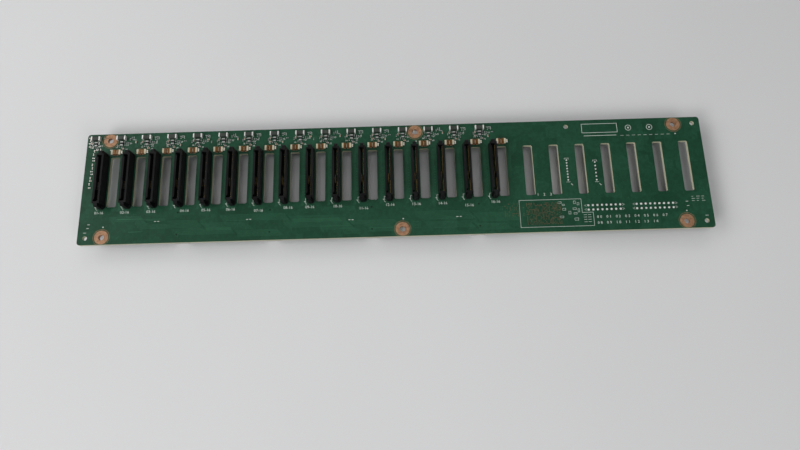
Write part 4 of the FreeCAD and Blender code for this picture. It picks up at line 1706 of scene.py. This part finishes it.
class BACKPLANE_OT_lights(bpy.types.Operator):
    """Two status lights above each fitted air slot: pads, divider and resistor with them"""

    bl_idname = "backplane.lights"
    bl_label = "Status lights"

    def execute(self, context):
        low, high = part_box("status_lights")
        row = (low.y + high.y) / 2
        depth = high.y - low.y
        places = []
        turns = []
        for x in SLOT_X[:FITTED]:
            places += [(x - LIGHT_ASIDE, row, FRONT), (x + LIGHT_ASIDE, row, FRONT)]
            turns += [0.0, math.pi]
        self.add_bodies(places, turns)
        self.add_pads(places, turns, depth)
        self.add_dividers(row, depth)
        self.add_resistors(row)
        return {"FINISHED"}

    def add_bodies(self, places, turns):
        """A pale body and an amber window, mirrored about the air slot's middle."""
        body = light_shape("light_body", -LIGHT_HALF, WINDOW_START, 1.0)
        window = light_shape("light_window", WINDOW_START, LIGHT_HALF, WINDOW_HEIGHT)
        values = {
            "Body Shape": body,
            "Window Shape": window,
            "Body": finish(pale_lens),
            "Window": finish(amber_window),
        }
        seed = seed_points(places, turns)
        piece = grow("status_light_bodies", seed, shared_tree(master_tree), values)
        bpy.data.objects.remove(body)
        bpy.data.objects.remove(window)
        settle(piece, "light_cream", "status_lights")

    def add_pads(self, places, turns, depth):
        """A copper pad under both ends of each light."""
        half_x = 0.8 * MM
        half_y = 0.45 * MM
        film = board_settings().film
        form = bmesh.new()
        for (x, y, z), turn in zip(places, turns):
            inward = 0.6 * MM * math.cos(turn)
            for side in (-1, 1):
                pad_y = y + side * depth / 2
                add_box(
                    form,
                    (x + inward - half_x, pad_y - half_y, z),
                    (x + inward + half_x, pad_y + half_y, z + film * 2),
                )
        settle(keep(form, "status_light_pads", bare_copper), "light_cream")

    def add_dividers(self, row, depth):
        """A thin wall between the two lights of a bay."""
        half = 0.14 * MM
        top = FRONT + 0.6 * MM
        form = bmesh.new()
        for x in SLOT_X[:FITTED]:
            ends = (row - depth * 0.4, row + depth * 0.36)
            add_box(form, (x - half, ends[0], FRONT), (x + half, ends[1], top))
        settle(keep(form, "status_light_dividers", pale_lens), "light_cream")

    def add_resistors(self, row):
        """A resistor standing beside the lights of each bay."""
        places = [(x + 3.95 * MM, row, FRONT) for x in SLOT_X[:FITTED]]
        turns = [math.pi / 2] * len(places)
        size = (2.0 * MM, 0.95 * MM, 0.7 * MM)
        piece = chip_parts("light_resistors", places, turns, size, 0.55 * MM, pale_lens)
        settle(piece, "light_cream")


class BACKPLANE_OT_fuses(bpy.types.Operator):
    """A fuse with bright end caps at the upper edge of each fitted bay"""

    bl_idname = "backplane.fuses"
    bl_label = "Bay fuses"

    def execute(self, context):
        low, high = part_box("bay_fuses")
        row = (low.y + high.y) / 2
        places = [(x - FUSE_ASIDE, row, FRONT) for x in SLOT_X[:FITTED]]
        turns = [0.0] * len(places)
        size = (FUSE_LENGTH, high.y - low.y, high.z - low.z)
        cap = 0.85 * MM
        inset = 0.12 * MM
        piece = chip_parts("bay_fuse_bodies", places, turns, size, cap, fuse_body, inset)
        settle(piece, "fuse_dark", "bay_fuses")
        return {"FINISHED"}


# Small parts that repeat with each bay: offset from the bay's air slot, offset down from the
# board's upper edge, quarter turns, kind. The first list stands at every bay. The others take
# turns.
BAY_PARTS = (
    (-17.3, 6.5, 1, "capacitor"),
    (-14.1, 7.3, 1, "transistor"),
    (-10.6, 6.9, 1, "resistor"),
    (-9.4, 7.1, 1, "resistor"),
    (-13.7, 9.9, 0, "resistor"),
    (-12.9, 11.1, 0, "capacitor"),
    (-7.4, 3.4, 1, "resistor"),
    (-18.4, 7.4, 1, "resistor"),
    (-15.9, 6.0, 0, "resistor"),
    (-12.2, 6.2, 1, "resistor"),
    (-11.7, 8.4, 0, "resistor"),
    (-15.7, 9.3, 1, "resistor"),
    (-8.6, 4.2, 1, "resistor"),
)
TURN_PARTS = (
    ((-7.2, 6.1, 0, "capacitor"), (-5.0, 8.0, 1, "resistor")),
    ((-16.9, 8.9, 1, "resistor"), (-6.0, 4.6, 0, "resistor"), (-4.4, 6.4, 1, "capacitor")),
    ((-10.4, 9.9, 0, "resistor"), (-7.5, 5.9, 1, "resistor")),
    ((-17.2, 9.0, 0, "capacitor"), (-5.6, 6.6, 0, "resistor"), (-8.6, 9.6, 1, "capacitor")),
)
# Parts of the left end: place from the left end, place from the upper edge, quarter turns.
END_PARTS = (
    (1.9, 2.6, 0),
    (2.2, 4.6, 1),
    (6.9, 2.2, 0),
    (7.9, 4.4, 1),
    (8.1, 6.6, 1),
    (1.9, 6.7, 0),
    (3.9, 7.1, 1),
    (8.6, 9.0, 0),
    (2.2, 9.0, 0),
    (4.3, 9.4, 1),
    (7.2, 11.6, 0),
    (9.6, 11.4, 1),
    (5.6, 12.3, 1),
    (5.2, 14.8, 1),
    (5.4, 17.4, 0),
    (5.7, 19.2, 0),
    (5.1, 22.2, 1),
    (5.4, 24.6, 1),
    (5.0, 27.0, 0),
    (5.3, 28.9, 0),
    (4.6, 31.6, 1),
    (4.9, 33.6, 0),
    (4.3, 36.0, 1),
    (4.6, 38.6, 0),
)
RESISTOR_SIZE = (1.3 * MM, 0.6 * MM, 0.4 * MM)
CAPACITOR_SIZE = (1.5 * MM, 0.8 * MM, 0.7 * MM)
TRANSISTOR_SIZE = (2.9 * MM, 1.8 * MM, 1.0 * MM)
END_PART_SIZE = (1.5 * MM, 0.7 * MM, 0.4 * MM)
END_PART_CAP = 0.5 * MM
REAR_CAP = 0.36 * MM
CAP_SHARE = 0.24


class BACKPLANE_OT_small_parts(bpy.types.Operator):
    """Resistors, capacitors and transistors on the front, and rows of small parts behind"""

    bl_idname = "backplane.small_parts"
    bl_label = "Small surface parts"

    def execute(self, context):
        self.add_end_parts()
        self.add_bay_parts()
        self.add_rear_capacitors()
        self.add_rear_resistors()
        return {"FINISHED"}

    def add_end_parts(self):
        """The column of small parts down the left end."""
        left = BOARD_LOW.x
        top = BOARD_HIGH.y
        places = [(left + across * MM, top - drop * MM, FRONT) for across, drop, _ in END_PARTS]
        turns = [math.pi / 2 * quarter for _, _, quarter in END_PARTS]
        size = END_PART_SIZE
        piece = chip_parts("left_end_parts", places, turns, size, END_PART_CAP, ceramic_tan)
        settle(piece, "fuse_dark")

    def add_bay_parts(self):
        """The small parts above each fitted bay, one piece for each kind."""
        rows = {"resistor": [], "capacitor": [], "transistor": []}
        for index, x in enumerate(SLOT_X[:FITTED]):
            for offset, drop, quarter, kind in BAY_PARTS + TURN_PARTS[index % len(TURN_PARTS)]:
                rows[kind].append((x + offset * MM, BOARD_HIGH.y - drop * MM, quarter))
        for kind, body, size in (
            ("resistor", chip_blue_black, RESISTOR_SIZE),
            ("capacitor", ceramic_tan, CAPACITOR_SIZE),
            ("transistor", part_black, TRANSISTOR_SIZE),
        ):
            clear = [row for row in rows[kind] if not near_hole(row[0], row[1])]
            places = [(x, y, FRONT) for x, y, _ in clear]
            turns = [math.pi / 2 * quarter for _, _, quarter in clear]
            cap = size[0] * CAP_SHARE
            piece = chip_parts(f"front_{kind}s", places, turns, size, cap, body, caps=dull_tin)
            settle(piece, "fuse_dark")

    def add_rear_capacitors(self):
        """Three by each receptacle's power end, and a row by each link socket and the chip."""
        places = []
        turns = []
        for node in RECEPTACLES:
            low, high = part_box(node)
            for step in range(3):
                places.append((low.x - 1.6 * MM, high.y - (7.0 + 2.4 * step) * MM, BACK))
                turns.append(math.pi / 2)
        count = 6
        for node in LINK_SHELLS + ["expander_heatsink"]:
            low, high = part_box(node)
            for step in range(count):
                y = low.y + (high.y - low.y) * (step + 0.5) / count
                places.append((low.x - 2.6 * MM, y, BACK))
                turns.append(0.0)
        size = CAPACITOR_SIZE
        piece = chip_parts("rear_capacitors", places, turns, size, REAR_CAP, ceramic_tan, down=True)
        settle(piece, "fuse_dark")

    def add_rear_resistors(self):
        """A row of resistors above each power header."""
        places = []
        for node in ("left_supply_housing", "right_supply_housing"):
            low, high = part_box(node)
            for step in range(7):
                places.append((low.x + (step + 1.0) * 3.2 * MM, high.y + 2.2 * MM, BACK))
        turns = [math.pi / 2] * len(places)
        size = RESISTOR_SIZE
        piece = chip_parts("rear_resistors", places, turns, size, REAR_CAP, part_black, down=True)
        settle(piece, "fuse_dark")


def near_hole(x, y):
    """Whether a place lies on a screw hole's pad or just beside it."""
    reach = board_settings().ring_radius + 0.9 * MM
    return any(math.hypot(x - hole[0], y - hole[1]) < reach for hole in screw_holes())


# ---------------------------------------------------------------------------- headers, sockets


def pin_places(node):
    """Middles of a header's pins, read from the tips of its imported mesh."""
    mesh = frame["nodes"][node].data
    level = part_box(node)[0].z
    spots = set()
    for vertex in mesh.vertices:
        if abs(vertex.co.z - level) < 0.01 * MM:
            spots.add((round(vertex.co.x, 6), round(vertex.co.y, 6)))
    columns = sorted({x for x, _ in spots})
    rows = sorted({y for _, y in spots})
    centre_x = [(one + other) / 2 for one, other in zip(columns[::2], columns[1::2])]
    centre_y = [(one + other) / 2 for one, other in zip(rows[::2], rows[1::2])]
    return [(x, y) for x in centre_x for y in centre_y]


class BACKPLANE_OT_header_joints(bpy.types.Operator):
    """Solder joints of the headers' pins on the front, and locating pegs of the link sockets"""

    bl_idname = "backplane.header_joints"
    bl_label = "Header solder joints"

    def execute(self, context):
        parts = part_settings()
        large = []
        small = []
        for node in ("left_supply_pins", "right_supply_pins"):
            large += [(x, y, FRONT) for x, y in pin_places(node)]
        for node in ("panel_header_pins", "service_header_pins"):
            small += [(x, y, FRONT) for x, y in pin_places(node)]
        radius = parts.joint_radius
        height = parts.joint_height
        pin = (0.32 * MM, height * 1.5)
        piece = joints("supply_joints", large, (radius, height), pin, radius * 1.18, 16)
        settle(piece, "pin_tin")
        radius *= 0.72
        joint = (radius, height * 0.8)
        pin = (0.3 * MM, height * 1.2)
        piece = joints("small_header_joints", small, joint, pin, radius * 1.2, 14)
        settle(piece, "pin_tin")
        self.add_pegs()
        return {"FINISHED"}

    def add_pegs(self):
        """Two locating pegs of each link socket, whose tips show on the front."""
        apart = 7.5 * MM
        radius = 0.55 * MM
        tip = (0.45 * MM, FRONT + 0.06 * MM)
        form = bmesh.new()
        for node in LINK_SHELLS:
            centre = middle(node)
            for side in (-1, 1):
                place = (centre.x, centre.y + side * apart)
                add_lathe(form, place, [(radius, BACK), (radius, FRONT), tip], 12)
        settle(keep(form, "socket_pegs", moulded_black), "connector_black")


class BACKPLANE_OT_link_sockets(bpy.types.Operator):
    """Link sockets behind the lower strip: sheet shells, inserts and their two rows of contacts"""

    bl_idname = "backplane.link_sockets"
    bl_label = "Link sockets"

    def execute(self, context):
        for node in LINK_SHELLS:
            dress(node, folded_sheet)
        for node in LINK_INSERTS:
            dress(node, moulded_black)
        self.add_contacts()
        self.add_feet()
        return {"FINISHED"}

    def add_contacts(self):
        """Two rows of contacts on each insert's tongue."""
        count = 18
        pitch = 0.8 * MM
        half_x = 0.08 * MM
        half_y = 0.2 * MM
        form = bmesh.new()
        for node in LINK_INSERTS:
            centre = middle(node)
            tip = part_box(node)[0].z
            for step in range(count):
                y = centre.y + (step - (count - 1) / 2) * pitch
                for side in (-1, 1):
                    x = centre.x + side * 0.56 * MM
                    add_box(
                        form,
                        (x - half_x, y - half_y, tip + 0.5 * MM),
                        (x + half_x, y + half_y, tip + 5.0 * MM),
                    )
        settle(keep(form, "link_contacts", plated_gold), "contact_gold")

    def add_feet(self):
        """Four soldered feet of each shell."""
        half_x = 0.8 * MM
        half_y = 1.3 * MM
        film = board_settings().film
        form = bmesh.new()
        for node in LINK_INSERTS:
            centre = middle(node)
            for side in (-1, 1):
                for along in (-1, 1):
                    x = centre.x + side * 5.1 * MM
                    y = centre.y + along * 7.0 * MM
                    add_box(
                        form,
                        (x - half_x, y - half_y, BACK - 0.4 * MM),
                        (x + half_x, y + half_y, BACK - film),
                    )
        settle(keep(form, "link_shell_feet", solder), "shell_steel")


class BACKPLANE_OT_headers(bpy.types.Operator):
    """Power headers and small headers on the back, with tinned pins"""

    bl_idname = "backplane.headers"
    bl_label = "Headers"

    def execute(self, context):
        rows = (
            ("left_supply", moulded_black, "connector_black"),
            ("right_supply", moulded_black, "connector_black"),
            ("panel_header", natural_nylon, "header_natural"),
            ("service_header", natural_nylon, "header_natural"),
        )
        for name, maker, slot in rows:
            stand_in(f"{name}_body", f"{name}_housing", 0.15 * MM, maker, slot)
            dress(f"{name}_pins", solder)
        return {"FINISHED"}


# --------------------------------------------------------------------- chip, heat sink, power


class BACKPLANE_OT_chip(bpy.types.Operator):
    """Expander chip and the finned heat sink glued to it"""

    bl_idname = "backplane.chip"
    bl_label = "Chip and heat sink"

    def execute(self, context):
        dress("expander_chip", chip_package)
        sink = "expander_heatsink"
        stand_in("finned_heatsink", sink, 0.1 * MM, extruded_aluminium, "sink_aluminium")
        return {"FINISHED"}


def row_places(node):
    """Middles in X of the separate solids of a node, from its triangles' islands."""
    form = bmesh.new()
    form.from_mesh(frame["nodes"][node].data)
    bmesh.ops.remove_doubles(form, verts=form.verts, dist=SAME_CORNER)
    centres = []
    seen = set()
    for vertex in form.verts:
        if vertex in seen:
            continue
        island = [vertex]
        seen.add(vertex)
        for member in island:
            for edge in member.link_edges:
                other = edge.other_vert(member)
                if other not in seen:
                    seen.add(other)
                    island.append(other)
        across = [member.co.x for member in island]
        centres.append((min(across) + max(across)) / 2)
    form.free()
    return sorted(centres)


class BACKPLANE_OT_power_parts(bpy.types.Operator):
    """Bulk capacitors, inductors and regulators in the strip above the air slots"""

    bl_idname = "backplane.power_parts"
    bl_label = "Power parts"

    def execute(self, context):
        self.add_cans()
        dress("bulk_capacitor_bases", part_black)
        dress("voltage_regulators", part_black)
        coils = "power_inductors"
        stand_in("inductor_bodies", coils, 0.35 * MM, pressed_ferrite, "inductor_grey")
        self.add_straps()
        self.add_leads()
        return {"FINISHED"}

    def add_cans(self):
        """Drawn cans with a crimped neck, a rounded end and a dark mark over part of it."""
        low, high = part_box("bulk_capacitor_cans")
        radius = (high.y - low.y) / 2
        row = (low.y + high.y) / 2
        neck = radius - 0.35 * MM
        end = radius - 0.8 * MM
        profile = [
            (end - 0.3 * MM, low.z + 0.12 * MM),
            (end, low.z),
            (radius - 0.3 * MM, low.z + 0.12 * MM),
            (radius, low.z + 0.6 * MM),
            (radius, high.z - 2.4 * MM),
            (neck, high.z - 1.9 * MM),
            (neck, high.z - 1.5 * MM),
            (radius, high.z - 1.0 * MM),
            (radius, high.z),
        ]
        form = bmesh.new()
        marks = bmesh.new()
        reach = end - 0.3 * MM
        for x in row_places("bulk_capacitor_cans"):
            add_lathe(form, (x, row), profile, 36)
            outline = []
            for step in range(13):
                angle = math.radians(20 + 140 * step / 12)
                outline.append((x + reach * math.cos(angle), row + reach * math.sin(angle)))
            add_prism(marks, outline, low.z + 0.08 * MM, low.z + 0.14 * MM)
        settle(keep(form, "capacitor_cans", drawn_can), "can_aluminium", "bulk_capacitor_cans")
        settle(keep(marks, "capacitor_marks", part_black), "chip_black")

    def add_straps(self):
        """A tinned strap folded under each end of an inductor."""
        low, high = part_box("power_inductors")
        row = (low.y + high.y) / 2
        half = 2.0 * MM
        foot = high.z - 2.6 * MM
        top = BACK - board_settings().film
        form = bmesh.new()
        for x in row_places("power_inductors"):
            for side in (-1, 1):
                edge = x + side * (high.y - low.y) / 2
                ends = sorted((edge - side * 0.1 * MM, edge + side * 0.25 * MM))
                add_box(form, (ends[0], row - half, foot), (ends[1], row + half, top))
        settle(keep(form, "inductor_straps", solder), "pin_tin")

    def add_leads(self):
        """Short flat leads along both long sides of each regulator."""
        low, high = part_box("voltage_regulators")
        pitch = 1.27 * MM
        half = 0.2 * MM
        foot = BACK - 0.2 * MM
        top = BACK - board_settings().film
        form = bmesh.new()
        for x in row_places("voltage_regulators"):
            for step in range(6):
                lead = x + (step - 2.5) * pitch
                for edge, out in ((low.y, -1), (high.y, 1)):
                    ends = sorted((edge - out * 0.1 * MM, edge + out * 0.7 * MM))
                    add_box(form, (lead - half, ends[0], foot), (lead + half, ends[1], top))
        settle(keep(form, "regulator_leads", solder), "pin_tin")


# --------------------------------------------------------------------------------- the stage


# Name, place, width across and share of the power of each soft lamp.
LAMPS = (
    ("left_lamp", (-1.70, -0.10, 1.25), 1.10, 0.21),
    ("front_left_lamp", (-1.40, -1.30, 1.50), 1.00, 0.36),
    ("front_right_lamp", (1.00, -1.30, 1.20), 1.00, 0.12),
    ("back_lamp", (0.10, 1.30, 1.20), 1.20, 0.055),
    ("back_left_lamp", (-1.10, 0.75, 1.15), 0.90, 0.06),
    ("overhead_lamp", (0.0, -0.22, 1.30), 0.60, 0.034),
)
FLOOR_REACH = 3.0
FLOOR_THICKNESS = 0.02
# The camera: its place, its turns in degrees, and the width of its sensor in millimetres.
CAMERA_PLACE = (0.0061669, -0.1305184, 0.3945956)
CAMERA_TURNS = (14.5315, 0.79329, -1.50840)
SENSOR_WIDTH = 36.0


class BACKPLANE_OT_stage(bpy.types.Operator):
    """Plain pale floor, soft lamps and the camera"""

    bl_idname = "backplane.stage"
    bl_label = "Floor, lamps and camera"

    def execute(self, context):
        stage = stage_settings()
        self.add_floor(stage)
        self.add_surroundings(context, stage)
        for name, place, size, share_of_light in LAMPS:
            self.add_lamp(name, place, size, share_of_light * stage.lamp_power)
        self.add_camera(context, stage)
        context.scene.view_settings.view_transform = "Standard"
        return {"FINISHED"}

    def add_floor(self, stage):
        """A plain floor, barely clouded."""
        plain = Finish("pale_floor", stage.floor_colour, 0.55, specular=0.3)
        tone = plain.spread(plain.noise(3.0, 3.0), 0.3, 0.7)
        dark = scaled(stage.floor_colour, 0.975)
        pale = scaled(stage.floor_colour, 1.02)
        plain.paint(plain.blend(tone, dark, pale))
        plain.relief(plain.noise(240.0, 3.0), 0.02 * MM, 0.3)
        form = bmesh.new()
        corner = (FLOOR_REACH, FLOOR_REACH, 0.0)
        add_box(form, (-FLOOR_REACH, -FLOOR_REACH, -FLOOR_THICKNESS), corner)
        mesh = mesh_of(form, "floor")
        mesh.materials.append(plain.material)
        floor = add_object("floor", mesh)

    def add_surroundings(self, context, stage):
        """Even light from all around."""
        world = bpy.data.worlds.new("surroundings")
        world.use_nodes = True
        background = world.node_tree.nodes["Background"]
        background.inputs["Color"].default_value = (*stage.sky_colour, 1.0)
        background.inputs["Strength"].default_value = stage.sky_strength
        context.scene.world = world

    def add_lamp(self, name, place, size, power):
        """A round soft lamp that points at the middle of the frame."""
        lamp = bpy.data.lights.new(name, "AREA")
        lamp.shape = "DISK"
        lamp.size = size
        lamp.energy = power
        carrier = add_object(name, lamp)
        carrier.location = place
        carrier.rotation_euler = (-Vector(place)).to_track_quat("-Z", "Y").to_euler()

    def add_camera(self, context, stage):
        """The camera above the board, a little in front of its middle."""
        camera = bpy.data.cameras.new("camera")
        camera.lens = stage.lens
        camera.sensor_width = SENSOR_WIDTH
        camera.sensor_fit = "HORIZONTAL"
        camera.clip_start = 0.01
        carrier = add_object("camera", camera)
        carrier.location = CAMERA_PLACE
        carrier.rotation_euler = [math.radians(angle) for angle in CAMERA_TURNS]
        context.scene.camera = carrier


# ------------------------------------------------------------------------- sidebar and running

OPERATORS = (
    BACKPLANE_OT_board,
    BACKPLANE_OT_tracks,
    BACKPLANE_OT_vias,
    BACKPLANE_OT_silkscreen,
    BACKPLANE_OT_receptacles,
    BACKPLANE_OT_receptacle_tails,
    BACKPLANE_OT_test_points,
    BACKPLANE_OT_lights,
    BACKPLANE_OT_fuses,
    BACKPLANE_OT_small_parts,
    BACKPLANE_OT_header_joints,
    BACKPLANE_OT_link_sockets,
    BACKPLANE_OT_headers,
    BACKPLANE_OT_chip,
    BACKPLANE_OT_power_parts,
    BACKPLANE_OT_stage,
)
SETTINGS = {
    "backplane_board": BackplaneBoardSettings,
    "backplane_parts": BackplanePartSettings,
    "backplane_stage": BackplaneStageSettings,
}


class VIEW3D_PT_backplane(bpy.types.Panel):
    """Lists the sizes and colours, and a button for each piece"""

    bl_label = "Drive backplane board"
    bl_idname = "VIEW3D_PT_backplane"
    bl_space_type = "VIEW_3D"
    bl_region_type = "UI"
    bl_category = "Backplane"

    def draw(self, context):
        layout = self.layout
        for name, group in SETTINGS.items():
            box = layout.box()
            for key in group.__annotations__:
                box.prop(getattr(context.scene, name), key)
        for operator in OPERATORS:
            layout.operator(operator.bl_idname)


def register():
    """Registers the settings, the operators and the panel."""
    for group in SETTINGS.values():
        bpy.utils.register_class(group)
    for operator in OPERATORS:
        bpy.utils.register_class(operator)
    bpy.utils.register_class(VIEW3D_PT_backplane)
    for name, group in SETTINGS.items():
        setattr(bpy.types.Scene, name, bpy.props.PointerProperty(type=group))


def unregister():
    """Takes out what register puts in."""
    for name in SETTINGS:
        delattr(bpy.types.Scene, name)
    bpy.utils.unregister_class(VIEW3D_PT_backplane)
    for operator in reversed(OPERATORS):
        bpy.utils.unregister_class(operator)
    for group in SETTINGS.values():
        bpy.utils.unregister_class(group)


def corners(box):
    """A box's lowest and highest corner as plain lists."""
    return [list(corner) for corner in box]


def main():
    register()
    bpy.ops.backplane.board()
    bpy.ops.backplane.tracks()
    bpy.ops.backplane.vias()
    bpy.ops.backplane.silkscreen()
    bpy.ops.backplane.receptacles()
    bpy.ops.backplane.receptacle_tails()
    bpy.ops.backplane.test_points()
    bpy.ops.backplane.lights()
    bpy.ops.backplane.fuses()
    bpy.ops.backplane.small_parts()
    bpy.ops.backplane.header_joints()
    bpy.ops.backplane.link_sockets()
    bpy.ops.backplane.headers()
    bpy.ops.backplane.chip()
    bpy.ops.backplane.power_parts()
    bpy.ops.backplane.stage()


if __name__ == "__main__":
    main()
